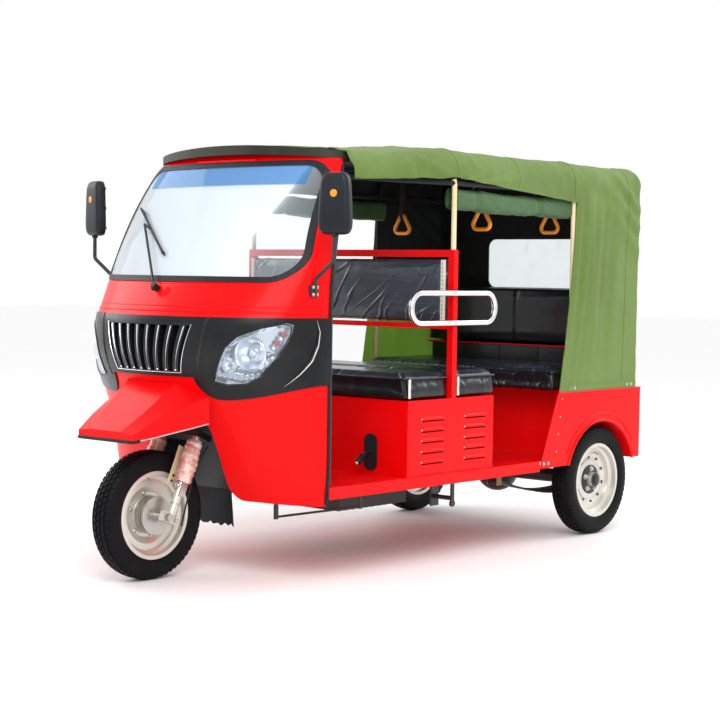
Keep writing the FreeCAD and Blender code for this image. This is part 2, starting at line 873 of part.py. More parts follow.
def steering_foot():
    rake = math.radians(fork_rake)
    offset = axle_lead + stem_back
    return V(front_x - offset * math.cos(rake), 0, tyre_r - offset * math.sin(rake))


def fork_legs():
    legs = []
    for side in (1, -1):
        y = side * leg_y
        slider = Part.makeCylinder(leg_r, slider_top + leg_r, V(stem_back, y, -leg_r))
        lug = block(stem_back - leg_r, stem_back + axle_lead + leg_r, y - lug_half_w, y + lug_half_w, -leg_r, leg_r)
        stanchion = Part.makeCylinder(stanchion_r, yoke_z - slider_top, V(stem_back, y, slider_top))
        hole = Part.makeCylinder(axle_r + fit_gap, leg_r * 4, V(stem_back + axle_lead, y - leg_r * 2, 0), V(0, 1, 0))
        legs.append(in_fork_frame(fuse([slider, lug, stanchion]).cut(hole)))
    return legs


def fork_boots():
    boots = []
    rings = int((boot_top - slider_top) / boot_pitch)
    for side in (1, -1):
        y = side * leg_y
        profile = [(stanchion_r + fit_gap, slider_top + fit_gap)]
        for i in range(rings):
            z = slider_top + fit_gap + boot_pitch * i
            profile.append((boot_r - boot_groove, z))
            profile.append((boot_r, z + boot_pitch / 2))
        profile.append((boot_r - boot_groove, slider_top + boot_pitch * rings))
        profile.append((stanchion_r + fit_gap, slider_top + boot_pitch * rings))
        middle = V(stem_back, y, 0)
        points = [middle + V(r, 0, z) for r, z in profile]
        boot = Part.Face(polygon(points)).revolve(middle, V(0, 0, 1), 360)
        boots.append(in_fork_frame(boot))
    return boots


def steering_yoke():
    plate = block(-yoke_rear, stem_back + leg_r, -leg_y - leg_r, leg_y + leg_r, yoke_z, yoke_z + yoke_t)
    stem = Part.makeCylinder(stem_r, stem_top_z - yoke_z, V(0, 0, yoke_z))
    return in_fork_frame(fuse([plate, stem]))


def steering_head():
    # tube that carries the stem, braced back and down to the cab's floor
    head = in_fork_frame(Part.makeCylinder(head_tube_r, head_high_z - head_low_z, V(0, 0, head_low_z)))
    bore = in_fork_frame(Part.makeCylinder(stem_r + fit_gap, stem_top_z))
    rake = math.radians(fork_rake)
    high = steering_foot() + V(-math.sin(rake), 0, math.cos(rake)) * (head_high_z - brace_r * 2)
    x = place(brace_back)
    parts = [head]
    for side in (1, -1):
        points = [V(high.x, side * head_tube_r / 2, high.z), V(x, side * brace_y, high.z),
                  V(x, side * brace_y, floor_z + fit_gap)]
        parts.append(bent_tube(points, brace_bend, brace_r))
        parts.append(block(x - brace_foot_half, x + brace_foot_half, side * brace_y - brace_foot_half,
                           side * brace_y + brace_foot_half, floor_z + fit_gap, floor_z + fit_gap + brace_foot_t))
    return fuse(parts).cut(bore)


def handlebar():
    z = stem_top_z + grip_r
    half = [V(0, bar_inner_y, z), V(-bar_knee_back, bar_knee_y, z + bar_knee_rise), V(-bar_rise, bar_half_w, z + bar_rise)]
    bar = bent_tube([V(p.x, -p.y, p.z) for p in reversed(half)] + half, bar_bend, tube_r)
    clamp = Part.makeCylinder(clamp_r, grip_r, V(0, 0, stem_top_z + fit_gap))
    grips = []
    for side in (1, -1):
        end = V(-bar_rise, side * bar_half_w, z + bar_rise)
        knee = V(-bar_knee_back, side * bar_knee_y, z + bar_knee_rise)
        along = (knee - end).normalize()
        grips.append(rod(end - along * overrun, end + along * grip_l, grip_r))
    return in_fork_frame(fuse([bar, clamp] + grips))


def front_axle():
    # spindle with its nuts, the spacer and the plate that closes the brake drum
    across = V(0, 1, 0)
    end_y = leg_y + leg_r
    plate_y = brake_half_w + move_gap
    axle = Part.makeCylinder(axle_r, (end_y + axle_r) * 2, V(front_x, -end_y - axle_r, tyre_r), across)
    plate = Part.makeCylinder(brake_r + sheet_t, sheet_t * 2, V(front_x, plate_y, tyre_r), across)
    spacer = Part.makeCylinder(spacer_r, leg_y - leg_r - plate_y, V(front_x, plate_y, tyre_r), across)
    nuts = [Part.makeCylinder(axle_nut_r, axle_nut_t, V(front_x, y, tyre_r), across)
            for y in (end_y + fit_gap, -end_y - fit_gap - axle_nut_t)]
    return fuse([axle, plate, spacer] + nuts)


# wheels


def tyre():
    # section from the bead up the sidewall to a slightly crowned tread
    wall = tyre_r - rim_r
    half = [(rim_r + bead_gap, rim_half_w - rim_t * 2)]
    half += [(rim_r + wall * up, tyre_half_w * across) for up, across in tyre_wall_shares]
    profile = half + [(r, -a) for r, a in reversed(half)]
    return revolved(profile, V(0, 0, 0), V(0, 1, 0))


def rim():
    # drop-centre rim
    lip = rim_r + rim_t * 1.5
    well = rim_r - rim_t * 4
    edge = rim_r - rim_t * 1.5
    profile = [(rim_r, -rim_half_w + rim_t * 3), (rim_r, -rim_half_w + rim_t), (lip, -rim_half_w + rim_t / 2),
               (lip, -rim_half_w), (rim_r - rim_t, -rim_half_w), (edge, -rim_half_w / 2),
               (well, -rim_half_w / 3), (well, rim_half_w / 3), (edge, rim_half_w / 2), (rim_r - rim_t, rim_half_w),
               (lip, rim_half_w), (lip, rim_half_w - rim_t / 2), (rim_r, rim_half_w - rim_t),
               (rim_r, rim_half_w - rim_t * 3), (well + rim_t, rim_half_w / 3), (well + rim_t, -rim_half_w / 3)]
    return revolved(profile, V(0, 0, 0), V(0, 1, 0))


def disc(y, inner):
    # dished disc from the hub out to the rim
    outer = rim_r - rim_t * 3.5
    flat = outer * disc_flat_share
    step = outer * disc_step_share
    profile = [(inner, y + rim_t), (flat, y + rim_t), (step, y + rim_t * 3), (outer, y + rim_t * 3),
               (outer, y + rim_t * 2), (step, y + rim_t * 2), (flat, y), (inner, y)]
    return revolved(profile, V(0, 0, 0), V(0, 1, 0))


def front_rim():
    bore = axle_r + fit_gap
    drum = revolved([(bore, -brake_half_w), (brake_nose_r, -brake_half_w), (brake_r, -brake_half_w / 2),
                     (brake_r, brake_half_w), (bore, brake_half_w)], V(0, 0, 0), V(0, 1, 0))
    return fuse([rim(), disc(-rim_t * 2, front_hub_r), drum])


def rear_rim(side):
    bore = rear_axle_r + fit_gap
    drum = revolved([(bore, -hub_r), (rear_brake_r, -hub_r), (rear_brake_r, 0), (hub_r, rim_t),
                     (hub_r, hub_r), (bore, hub_r)], V(0, 0, 0), V(0, 1, 0))
    studs = []
    for i in range(stud_count):
        angle = math.radians(360 / stud_count * i + stud_first)
        centre = V(stud_ring_r * math.cos(angle), 0, stud_ring_r * math.sin(angle))
        studs.append(Part.makeCylinder(axle_r, rim_t * 3, centre, V(0, 1, 0)))
    shape = fuse([rim(), disc(-rim_t * 2, hub_disc_r), drum] + studs)
    return shape if side > 0 else flipped(shape)


def moved(shape, x, y, z):
    result = shape.copy()
    result.translate(V(x, y, z))
    return result


def rear_axle():
    y = rear_wheel_y - hub_r - move_gap
    across = V(0, 1, 0)
    tube = Part.makeCylinder(axle_tube_r, y * 2, V(rear_x, -y, tyre_r), across)
    plates = [Part.makeCylinder(rear_brake_r, sheet_t * 2, V(rear_x, start, tyre_r), across)
              for start in (y - sheet_t * 2, -y)]
    stub_end = rear_wheel_y + hub_r + sheet_t
    stub = Part.makeCylinder(rear_axle_r, stub_end * 2, V(rear_x, -stub_end, tyre_r), across)
    case = Part.makeSphere(diff_r, V(rear_x, 0, tyre_r))
    nose = Part.makeCylinder(diff_nose_r, diff_nose_l, V(rear_x, 0, tyre_r), V(1, 0, 0))
    return fuse([tube, stub, case, nose] + plates)


def leaf_springs():
    # a pack of leaves under the axle, each shorter than the one above
    x0 = place(spring_front_back)
    x1 = place(spring_rear_back)
    seat_z = tyre_r - axle_tube_r - fit_gap
    eye_z = tyre_r + axle_tube_r
    y0 = spring_y - spring_w / 2
    parts = []
    for i, share in enumerate(leaf_shares):
        a = rear_x + (x0 - rear_x) * share
        b = rear_x + (x1 - rear_x) * share
        low = seat_z - leaf_t * (i + 1)
        end = low + (eye_z - seat_z) * share * share
        outer = Part.Arc(V(a, y0, end), V(rear_x, y0, low), V(b, y0, end)).toShape()
        inner = Part.Arc(V(b, y0, end + leaf_t), V(rear_x, y0, low + leaf_t), V(a, y0, end + leaf_t)).toShape()
        tips = [Part.makeLine(V(b, y0, end), V(b, y0, end + leaf_t)), Part.makeLine(V(a, y0, end + leaf_t), V(a, y0, end))]
        parts.append(Part.Face(Part.Wire([outer, tips[0], inner, tips[1]])).extrude(V(0, spring_w, 0)))
    for x in (x0, x1):
        parts.append(Part.makeCylinder(eye_r, spring_w, V(x, y0, eye_z - eye_r / 2), V(0, 1, 0)))
    clip_low = seat_z - leaf_t * len(leaf_shares)
    parts.append(block(rear_x - spring_w, rear_x + spring_w, y0, y0 + spring_w, clip_low, seat_z - leaf_t))
    return both_sides(fuse(parts))


def spring_hangers():
    # a bracket with two cheeks over each spring eye
    shapes = []
    low = tyre_r + axle_tube_r - eye_r * 1.5
    top = floor_z - floor_t - fit_gap
    far_y = spring_y + spring_w / 2 + fit_gap
    near_y = spring_y - spring_w / 2 - fit_gap
    for back in (spring_front_back, spring_rear_back):
        x = place(back)
        cheeks = [block(x - eye_r, x + eye_r, far_y, far_y + sheet_t, low, top),
                  block(x - eye_r, x + eye_r, near_y - sheet_t, near_y, low, top)]
        bridge = block(x - eye_r, x + eye_r, near_y - sheet_t, far_y + sheet_t, top - sheet_t * 2, top)
        shapes.append(fuse(cheeks + [bridge]))
    return shapes + [flipped(s) for s in shapes]


# floor, driver's box and seats


def floor_pan():
    # sheet floor with folded sills, stepped in under the cab and open over the engine
    front = place(well_back) - fit_gap
    back = place(tub_front_low_back)
    sill_low = floor_z - sill_h
    low = floor_z - floor_t
    outer = block(back, front, -body_half_w, body_half_w, sill_low, floor_z)
    inner = block(back - overrun, front + overrun, -body_half_w + sheet_t, body_half_w - sheet_t, sill_low - overrun, low)
    joint_x = place(cab_back) - edge_run - fit_gap
    cab_part = block(joint_x, front + overrun, -body_half_w - overrun, body_half_w + overrun, sill_low - overrun,
                     floor_z + overrun)
    foot = block(place(cab_back) - fit_gap - overrun, place(cab_back - foot_reach), -cab_half_w, cab_half_w, low, floor_z)
    foot = foot.common(lower_form(-cab_wall_t - fit_gap))
    keep_out = block(front, place(-cab_nose), -arch_half_w - fit_gap, arch_half_w + fit_gap, 0, cab_top_z)
    inner_w = cab_base_half_w - cab_wall_t - fit_gap
    strip = block(joint_x - overrun, joint_x + overrun, -inner_w, inner_w, low, floor_z)
    pan = outer.cut(inner).cut(cab_part).fuse([foot.cut(keep_out), strip])
    rear = block(place(bench_front_back), back + overrun, -bench_half_w, bench_half_w, low, floor_z)
    tub_w = body_half_w - sheet_t - fit_gap
    beside_arches = block(rear_x + wheel_arch_r + sheet_t + fit_gap, back + overrun, -tub_w, tub_w, low, floor_z)
    hole = block(place(engine_rear_back) - overrun, place(engine_front_back) + overrun, -engine_half_w - overrun,
                 engine_half_w + overrun, 0, cab_top_z)
    return pan.fuse([rear, beside_arches]).cut(hole).removeSplitter()


def slot_outline(grow):
    half_w = slot_w / 2 + grow
    half_h = slot_h / 2 + grow
    return [(slot_y - half_w, slot_z - half_h), (slot_y + half_w, slot_z - half_h),
            (slot_y + half_w, slot_z + half_h), (slot_y - half_w, slot_z + half_h)]


def driver_seat_box():
    # sheet box open below, with air slots in its sides and the hand lever's slot in its front
    x0 = place(box_rear_back)
    x1 = place(box_front_back)
    inner_w = box_half_w - sheet_t
    outer = block(x0, x1, -box_half_w, box_half_w, floor_z + fit_gap, box_top_z)
    inner = block(x0 + sheet_t, x1 - sheet_t, -inner_w, inner_w, floor_z - overrun, box_top_z - sheet_t)
    slot = rounded_prism_x(slot_outline(0), slot_round_r, x1 - overrun, x1 + overrun)
    vents = []
    for front_back in louvre_backs:
        x = place(front_back)
        for i in range(louvre_rows):
            z = louvre_low_z + louvre_pitch * i
            vents += both_sides(block(x - louvre_w, x, inner_w - sheet_t, box_half_w + overrun, z, z + louvre_h))
    return outer.cut([inner, slot] + vents)


def hand_lever():
    # frame round the slot and the lever through it
    x = place(box_front_back) + fit_gap
    frame = rounded_prism_x(slot_outline(slot_w / 2), slot_frame_r, x, x + arm_r)
    lever = bent_tube([V(x - overrun, slot_y, slot_z), V(x + slot_w, slot_y, slot_z),
                       V(x + lever_reach, slot_y, slot_z - slot_w)], lever_bend, arm_r)
    return fuse([frame, lever])


def cushion(x0, x1, half_w, z0, z1, radius):
    body = block(x0, x1, -half_w, half_w, z0, z1)
    middle = (z0 + z1) / 2
    rounded = [e for e in body.Edges if e.BoundBox.ZMin > middle or e.BoundBox.ZLength > (z1 - z0) / 2]
    return body.makeFillet(radius, rounded)


def driver_cushions():
    gap = post_size / 2 + seat_gap
    z0 = box_top_z + seat_gap
    spans = [(place(post_back) + gap, place(box_front_back) + overrun),
             (place(box_rear_back) - overrun, place(post_back) - gap)]
    return [cushion(x0, x1, box_half_w, z0, cushion_top_z, cushion_edge_r) for x0, x1 in spans]


def backrest_frame():
    # square tube posts and rails
    x = place(post_back)
    half = post_size / 2
    y = body_half_w - post_size
    post = block(x - half, x + half, y, y + post_size, box_top_z + seat_gap, back_high_z)
    bars = [post, flipped(post),
            block(x - half, x + half, -y - fit_gap, y + fit_gap, back_high_z - post_size, back_high_z),
            block(x - half, x + half, -y - fit_gap, y + fit_gap, back_low_z, back_low_z + back_rail_h)]
    return fuse(bars)


def backrest_pad():
    x = place(post_back) - post_size / 2
    high = back_high_z - post_size - seat_gap
    return cushion_upright(x, x + pad_t, pad_half_w, pad_low_z, high, cushion_edge_r / 2)


def cushion_upright(x0, x1, half_w, z0, z1, radius):
    body = block(x0, x1, -half_w, half_w, z0, z1)
    return body.makeFillet(radius, body.Edges)


def arm_loops():
    y = body_half_w + tube_r + seat_gap
    x0 = place(loop_rear_back)
    x1 = place(loop_front_back)
    corners = [V(x0, y, loop_low_z), V(x1, y, loop_low_z), V(x1, y, loop_high_z), V(x0, y, loop_high_z)]
    path = rounded_wire(corners, [loop_round_r] * 4)
    ring = Part.Wire(Part.makeCircle(tube_r, V((x0 + x1) / 2, y, loop_low_z), V(1, 0, 0)))
    loop = path.makePipeShell([ring], True, False)
    return both_sides(loop)


# rear tub and bench

def tub_side_outline():
    return [(place(tub_front_low_back), tub_low_z), (place(tub_front_top_back), tub_top_z), (tail_x, tub_top_z),
            (tail_x, tub_low_z)]


def wheel_arch(r, y0, y1):
    # round housing over the wheel, open downwards
    tunnel = Part.makeCylinder(r, y1 - y0, V(rear_x, y0, tyre_r), V(0, 1, 0))
    return tunnel.fuse(block(rear_x - r, rear_x + r, y0, y1, 0, tyre_r))


def rear_tub():
    side = prism_y(tub_side_outline(), body_half_w - sheet_t, body_half_w)
    back = block(tail_x, tail_x + sheet_t, -body_half_w, body_half_w, tub_low_z, tub_top_z)
    x0 = tail_x
    x1 = place(bench_front_back)
    well = block(x0, x1, bench_half_w, bench_half_w + sheet_t, tub_low_z, tub_top_z)
    front = block(x1 - sheet_t, x1, -body_half_w, body_half_w, floor_z + fit_gap, tub_top_z)
    deck = block(x0, x1, -body_half_w, body_half_w, tub_top_z - sheet_t, tub_top_z)
    inner_y = bench_half_w + sheet_t
    liner = wheel_arch(wheel_arch_r + sheet_t, inner_y, body_half_w)
    liner = liner.common(block(x0, x1 + wheel_arch_r, inner_y, body_half_w, tub_low_z, tub_top_z))
    hollow = wheel_arch(wheel_arch_r, inner_y, body_half_w + overrun)
    body = fuse([side, flipped(side), back, well, flipped(well), front, deck, liner, flipped(liner)])
    holes = [Part.makeCylinder(plate_hole_r, sheet_t * 3, V(tail_x - sheet_t, y, plate_z), V(1, 0, 0))
             for y in (-plate_spacing / 2, plate_spacing / 2)]
    return body.cut([hollow, flipped(hollow)] + holes)


def rear_cushion():
    return cushion(place(rear_back_back) + seat_gap, place(rear_cushion_front_back), body_half_w - sheet_t - post_size,
                   tub_top_z + seat_gap, rear_cushion_top_z, cushion_edge_r)


def rear_backrest():
    x = place(rear_back_back)
    return cushion_upright(x - rear_pad_t, x, rear_pad_half_w, rear_back_low_z, rear_back_high_z, cushion_edge_r / 2)


# canopy and its frame

def canopy_section(back, half_w, low, eave, crown, shrink):
    # front-view outline of the cloth: straight sides, round shoulders, a low crown
    x = place(back)
    w = half_w - shrink
    top = crown - shrink
    edge = eave - shrink
    roof_y = w - shoulder_r
    roof_z = top - crown_drop
    mid_y = w - shoulder_mid_in
    mid_z = (edge + roof_z) / 2 + shoulder_mid_up
    right = Part.Arc(V(x, -w, edge), V(x, -mid_y, mid_z), V(x, -roof_y, roof_z)).toShape()
    roof = Part.Arc(V(x, -roof_y, roof_z), V(x, 0, top), V(x, roof_y, roof_z)).toShape()
    left = Part.Arc(V(x, roof_y, roof_z), V(x, mid_y, mid_z), V(x, w, edge)).toShape()
    side = Part.makeLine(V(x, -w, low), V(x, -w, edge))
    other = Part.makeLine(V(x, w, edge), V(x, w, low))
    base = Part.makeLine(V(x, w, low), V(x, -w, low))
    return Part.Wire([side, right, roof, left, other, base])


def canopy_form(shrink, front_grow, rear_grow, low):
    front = canopy_section(canopy_front_back - front_grow, canopy_front_half_w, low, eave_z - overrun,
                           canopy_front_crown_z, shrink)
    middle = canopy_section(post_back, canopy_half_w, low, eave_z + overrun, crown_z, shrink)
    rear = canopy_section(canopy_rear_back + rear_grow, canopy_half_w, low, eave_z + overrun, crown_z - overrun / 2, shrink)
    return Part.makeLoft([front, middle, rear], True, True)


def window_outline(shrink):
    half_w = window_half_w - shrink
    low = window_low_z + shrink
    high = window_high_z - shrink
    return [(-half_w, low), (half_w, low), (half_w, high), (-half_w, high)]


def canopy():
    outer = canopy_form(0, 0, 0, hem_z)
    inner = canopy_form(cloth_t, overrun, -cloth_t, hem_z - overrun)
    shell = outer.cut(inner)
    far = cab_half_w * 2
    side = prism_y([(place(canopy_front_back) + far, 0), (place(canopy_front_back) + far, canopy_front_low_z),
                    (place(post_back), eave_z), (place(side_cover_front_back), side_low_z),
                    (place(hem_front_back), hem_z - overrun), (place(hem_front_back), 0)], -far, far)
    x = place(canopy_rear_back)
    return shell.cut([side, rounded_prism_x(window_outline(0), window_corner_r, x - far, x + overrun)])


def rear_window():
    x = place(canopy_rear_back)
    return rounded_prism_x(window_outline(fit_gap), window_corner_r, x + fit_gap, x + cloth_t / 2)


def side_curtain_rolls():
    y = canopy_half_w - cloth_t - seat_gap - roll_r
    z = side_low_z + overrun
    roll = rod(V(place(roll_front_back), y, z + roll_r / 2), V(place(roll_rear_back), y, z - roll_r / 2), roll_r)
    return both_sides(roll)


def bow(x, half_w, foot_z, top_z):
    # one bent tube: up one side, across under the cloth and down the other
    points = [V(x, -half_w, foot_z), V(x, -half_w, top_z), V(x, half_w, top_z), V(x, half_w, foot_z)]
    return bent_tube(points, shoulder_r, post_tube_r)


def cab_edge_bow():
    # tube that follows the cab's rear edge up from the floor and across under the roof
    setback = edge_run + post_tube_r + fit_gap
    left = [V(place(cab_back) - setback, cab_half_w - post_tube_r, floor_z + fit_gap)]
    for share in bow_bend_shares:
        z = belt_z + (cab_top_z - belt_z) * share
        centre, nose, half_w = upper_section(z)
        left.append(V(centre - setback, half_w - post_tube_r, z))
    right = [V(p.x, -p.y, p.z) for p in reversed(left)]
    return bent_tube(left + right, shoulder_r / 2, post_tube_r)


def canopy_frame():
    # three bows, eave rails from the cab back, and rails for the handles
    y = canopy_half_w - cloth_t - post_tube_r - seat_gap
    front_y = upper_section(cab_top_z)[2] - post_tube_r
    top = crown_z - bow_drop
    front_end_x = top_rear_x() - post_tube_r * 2 - fit_gap * 2
    end_x = place(canopy_rear_back) + cloth_t + post_tube_r + seat_gap
    post_x = place(post_back)
    tubes = [bow(post_x, y, back_high_z + fit_gap, top), bow(place(rear_post_back), y, tub_top_z + fit_gap, top),
             bow(end_x, y, tub_top_z + fit_gap, top)]
    rail_z = eave_z - overrun
    for side in (1, -1):
        runs = [(V(front_end_x, side * front_y, rail_z), V(post_x, side * y, rail_z)),
                (V(post_x, side * y, rail_z), V(end_x, side * y, rail_z)),
                (V(post_x, side * handle_y, top), V(end_x, side * handle_y, top))]
        tubes += [rod(start, end, rail_tube_r) for start, end in runs]
    return fuse(tubes)


def backrest_support():
    # hoop that stands on the tub's deck behind the rear backrest
    x = place(rear_back_back) - rear_pad_t - seat_gap - backrest_tube_r
    foot_z = tub_top_z + seat_gap
    top = rear_back_high_z - backrest_tube_r * 2
    y = backrest_tube_y
    points = [V(x, -y, foot_z), V(x, -y, top), V(x, y, top), V(x, y, foot_z)]
    return bent_tube(points, shoulder_r / 2, backrest_tube_r)


def grab_handles():
    # triangles that hang facing forward
    shapes = []
    for back in handle_backs:
        x = place(back)
        low = handle_top_z - handle_h
        corners = [V(x, handle_y - handle_w / 2, low), V(x, handle_y + handle_w / 2, low), V(x, handle_y, handle_top_z)]
        path = rounded_wire(corners, [handle_corner_r, handle_corner_r, handle_r * 2])
        ring = Part.Wire(Part.makeCircle(handle_r, V(x, handle_y, low), V(0, 1, 0)))
        shapes.append(path.makePipeShell([ring], True, False))
    return shapes + [flipped(s) for s in shapes]


def handle_straps():
    # webbing loop from inside each handle's peak up to the rail
    shapes = []
    reach = handle_r + seat_gap
    leg_run = math.hypot(handle_h, handle_w / 2) / handle_h
    drop = (strap_w / 2 + seat_gap + handle_r * leg_run) * handle_h / (handle_w / 2)
    for back in handle_backs:
        x = place(back)
        top = crown_z - bow_drop - rail_tube_r - seat_gap
        low = handle_top_z - drop
        outer = block(x - reach - strap_t, x + reach + strap_t, handle_y - strap_w / 2, handle_y + strap_w / 2,
                      low - strap_t, top)
        hollow = block(x - reach, x + reach, handle_y - strap_w, handle_y + strap_w, low, top - strap_t)
        shapes.append(outer.cut(hollow))
    return shapes + [flipped(s) for s in shapes]


# chassis, engine and linkage


def chassis_frame():
    # two rails, cross members, arms under the engine and a tow eye at the tail
    parts = []
    x0 = tail_x + sheet_t + fit_gap
    x1 = place(well_back) - flap_t - fit_gap * 3
    rail = block(x0, x1, rail_y, rail_y + rail_w, rail_low_z, rail_low_z + rail_h)
    half_w = rail_y + overrun
    for back in cross_backs:
        x = place(back)
        parts.append(block(x - rail_w / 2, x + rail_w / 2, -half_w, half_w, rail_low_z, rail_low_z + cross_h))
    for x in (place(engine_rear_back) + mount_inset, place(engine_front_back) - mount_inset):
        arm = block(x - rail_w, x + rail_w, engine_half_w + seat_gap, rail_y + rail_w / 2, rail_low_z, rail_low_z + rail_h / 2)
        parts += both_sides(arm)
    eye_x = tail_x + eye_setback
    tongue = block(eye_x - tongue_half_w, place(cross_backs[-1]), -tongue_half_w, tongue_half_w, rail_low_z,
                   rail_low_z + eye_t)
    bore = Part.makeCylinder(eye_bore_r, eye_t * 3, V(eye_x, 0, rail_low_z - eye_t), V(0, 0, 1))
    return fuse(both_sides(rail) + parts + [tongue]).cut(bore)


def pedal_linkage():
    # brake rod between two hanging levers under the left floor, and the cross shaft with its own lever
    top = floor_z - floor_t - fit_gap
    ends = [(place(link_front_back), link_front_z), (place(link_rear_back), link_rear_z)]
    parts = [rod(V(ends[0][0], link_y, ends[0][1]), V(ends[1][0], link_y, ends[1][1]), link_r)]
    for x, low in ends:
        parts.append(block(x - lever_half_w, x + lever_half_w, link_y - link_r, link_y + link_r, low - lever_half_w, top))
    x = place(brake_lever_back)
    y0 = brake_lever_y - link_r
    y1 = brake_lever_y + link_r
    bracket_y = brake_lever_y - brake_shaft_l
    lever = block(x - lever_half_w, x + lever_half_w, y0, y1, brake_lever_z, top)
    eye = rod(V(x, y0, brake_lever_z), V(x, y1, brake_lever_z), brake_eye_r)
    shaft = rod(V(x, bracket_y, brake_shaft_z), V(x, brake_lever_y, brake_shaft_z), brake_shaft_r)
    bracket = block(x - brake_bracket_half, x + brake_bracket_half, bracket_y - link_r, bracket_y + link_r,
                    brake_bracket_low_z, top)
    return [fuse(parts), fuse([lever, eye, shaft, bracket])]


def engine():
    return block(place(engine_rear_back), place(engine_front_back), -engine_half_w, engine_half_w, engine_low_z,
                 engine_high_z)


def tail_lamps():
    outer_y = body_half_w - rail_w / 2
    lamp = block(tail_x - tail_lamp_t, tail_x - fit_gap, outer_y - tail_lamp_w, outer_y, tail_lamp_low_z,
                 tail_lamp_low_z + tail_lamp_h)
    return both_sides(lamp)


def build():
    save("cab_shell", [cab_shell()])
    save("windscreen", [windscreen()])
    save("windscreen_seal", [windscreen_seal()])
    save("front_mask", [front_mask()])
    save("grille", [grille()])
    save("headlamp_bowls", headlamp_bowls())
    save("headlamp_lenses", headlamp_lenses())
    save("cab_roof", [cab_roof()])
    save("cab_edge_bow", [cab_edge_bow()])
    save("wheel_well", [wheel_well()])
    save("mudflap", [mudflap()])
    save("dashboard", [dashboard()])
    save("wiper", [wiper()])
    save("mirror_heads", mirror_heads())
    save("mirror_arms", mirror_arms())
    save("front_mudguard", [front_mudguard()])
    save("fork_legs", fork_legs())
    save("fork_boots", fork_boots())
    save("steering_head", [steering_head()])
    save("steering_yoke", [steering_yoke()])
    save("handlebar", [handlebar()])
    save("front_axle", [front_axle()])
    save("front_tyre", [moved(tyre(), front_x, 0, tyre_r)])
    save("front_rim", [moved(front_rim(), front_x, 0, tyre_r)])
    for side, name in ((1, "left"), (-1, "right")):
        save("rear_" + name + "_tyre", [moved(tyre(), rear_x, side * rear_wheel_y, tyre_r)])
        save("rear_" + name + "_rim", [moved(rear_rim(side), rear_x, side * rear_wheel_y, tyre_r)])
    save("rear_axle", [rear_axle()])
    save("leaf_springs", leaf_springs())
    save("spring_hangers", spring_hangers())
    save("floor_pan", [floor_pan()])
    save("driver_seat_box", [driver_seat_box()])
    save("hand_lever", [hand_lever()])
    save("driver_cushions", driver_cushions())
    save("backrest_frame", [backrest_frame()])
    save("backrest_pad", [backrest_pad()])
    save("arm_loops", arm_loops())
    save("rear_tub", [rear_tub()])
    save("rear_cushion", [rear_cushion()])
    save("rear_backrest", [rear_backrest()])
    save("backrest_support", [backrest_support()])
    save("canopy", [canopy()])
    save("rear_window", [rear_window()])
    save("side_curtain_rolls", side_curtain_rolls())
    save("canopy_frame", [canopy_frame()])
    save("grab_handles", grab_handles())
    save("handle_straps", handle_straps())
    save("chassis_frame", [chassis_frame()])
    save("pedal_linkage", pedal_linkage())
    save("engine", [engine()])
    save("tail_lamps", tail_lamps())


build()
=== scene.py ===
import json
from math import asin, atan2, copysign, cos, exp, hypot, pi, radians, sin, sqrt

import bmesh
import bpy
from mathutils import Matrix, Vector, noise
from mathutils.bvhtree import BVHTree


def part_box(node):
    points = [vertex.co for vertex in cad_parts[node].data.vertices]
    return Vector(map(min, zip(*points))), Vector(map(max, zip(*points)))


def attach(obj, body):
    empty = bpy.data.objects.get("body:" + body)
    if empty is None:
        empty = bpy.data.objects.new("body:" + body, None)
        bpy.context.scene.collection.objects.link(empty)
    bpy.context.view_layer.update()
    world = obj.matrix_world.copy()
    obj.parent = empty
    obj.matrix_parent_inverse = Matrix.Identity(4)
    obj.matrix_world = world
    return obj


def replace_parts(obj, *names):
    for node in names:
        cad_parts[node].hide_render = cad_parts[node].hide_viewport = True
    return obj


# Auto rickshaw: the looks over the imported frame. Metres, +X forward, +Y left, +Z up.
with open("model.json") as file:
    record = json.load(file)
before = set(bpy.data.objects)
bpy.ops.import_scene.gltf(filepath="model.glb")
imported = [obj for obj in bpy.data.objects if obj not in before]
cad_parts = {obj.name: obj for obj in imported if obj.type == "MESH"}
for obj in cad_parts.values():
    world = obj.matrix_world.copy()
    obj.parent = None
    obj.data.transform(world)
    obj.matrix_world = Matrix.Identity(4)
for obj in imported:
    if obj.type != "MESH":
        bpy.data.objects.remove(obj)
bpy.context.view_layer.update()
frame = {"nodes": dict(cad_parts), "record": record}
nodes = frame["nodes"]
scene = bpy.context.scene
frontX = 1.20525
rearX = -1.11925
tyreRadius = 0.2575
print("frame loaded:", len(nodes), "nodes")


def addObject(name, data):
    made = bpy.data.objects.new(name, data)
    scene.collection.objects.link(made)
    return made


def addModifier(piece, name, kind, **settings):
    made = piece.modifiers.new(name, kind)
    for key, value in settings.items():
        setattr(made, key, value)
    return made


def place(back):
    # station measured backwards from the front axle
    return frontX - back


# camera at the photograph's view

cameraSpec = {"at": (5.714, 5.0526, 1.2268), "yaw": -2.423, "pitch": -0.051, "roll": 0.0144, "lens": 85.02}


def makeCamera(spec):
    yaw, pitch, roll = spec["yaw"], spec["pitch"], spec["roll"]
    ahead = Vector((cos(yaw) * cos(pitch), sin(yaw) * cos(pitch), sin(pitch)))
    right = Vector((sin(yaw), -cos(yaw), 0))
    up = right.cross(ahead)
    rolledRight = right * cos(roll) + up * sin(roll)
    rolledUp = up * cos(roll) - right * sin(roll)
    camera = addObject("viewCamera", bpy.data.cameras.new("viewCamera"))
    camera.matrix_world = Matrix((
        (rolledRight.x, rolledUp.x, -ahead.x, spec["at"][0]),
        (rolledRight.y, rolledUp.y, -ahead.y, spec["at"][1]),
        (rolledRight.z, rolledUp.z, -ahead.z, spec["at"][2]),
        (0, 0, 0, 1)))
    camera.data.sensor_width = 36
    camera.data.lens = spec["lens"]
    camera.data.clip_start = 0.05
    camera.data.clip_end = 200
    scene.camera = camera


makeCamera(cameraSpec)


# materials

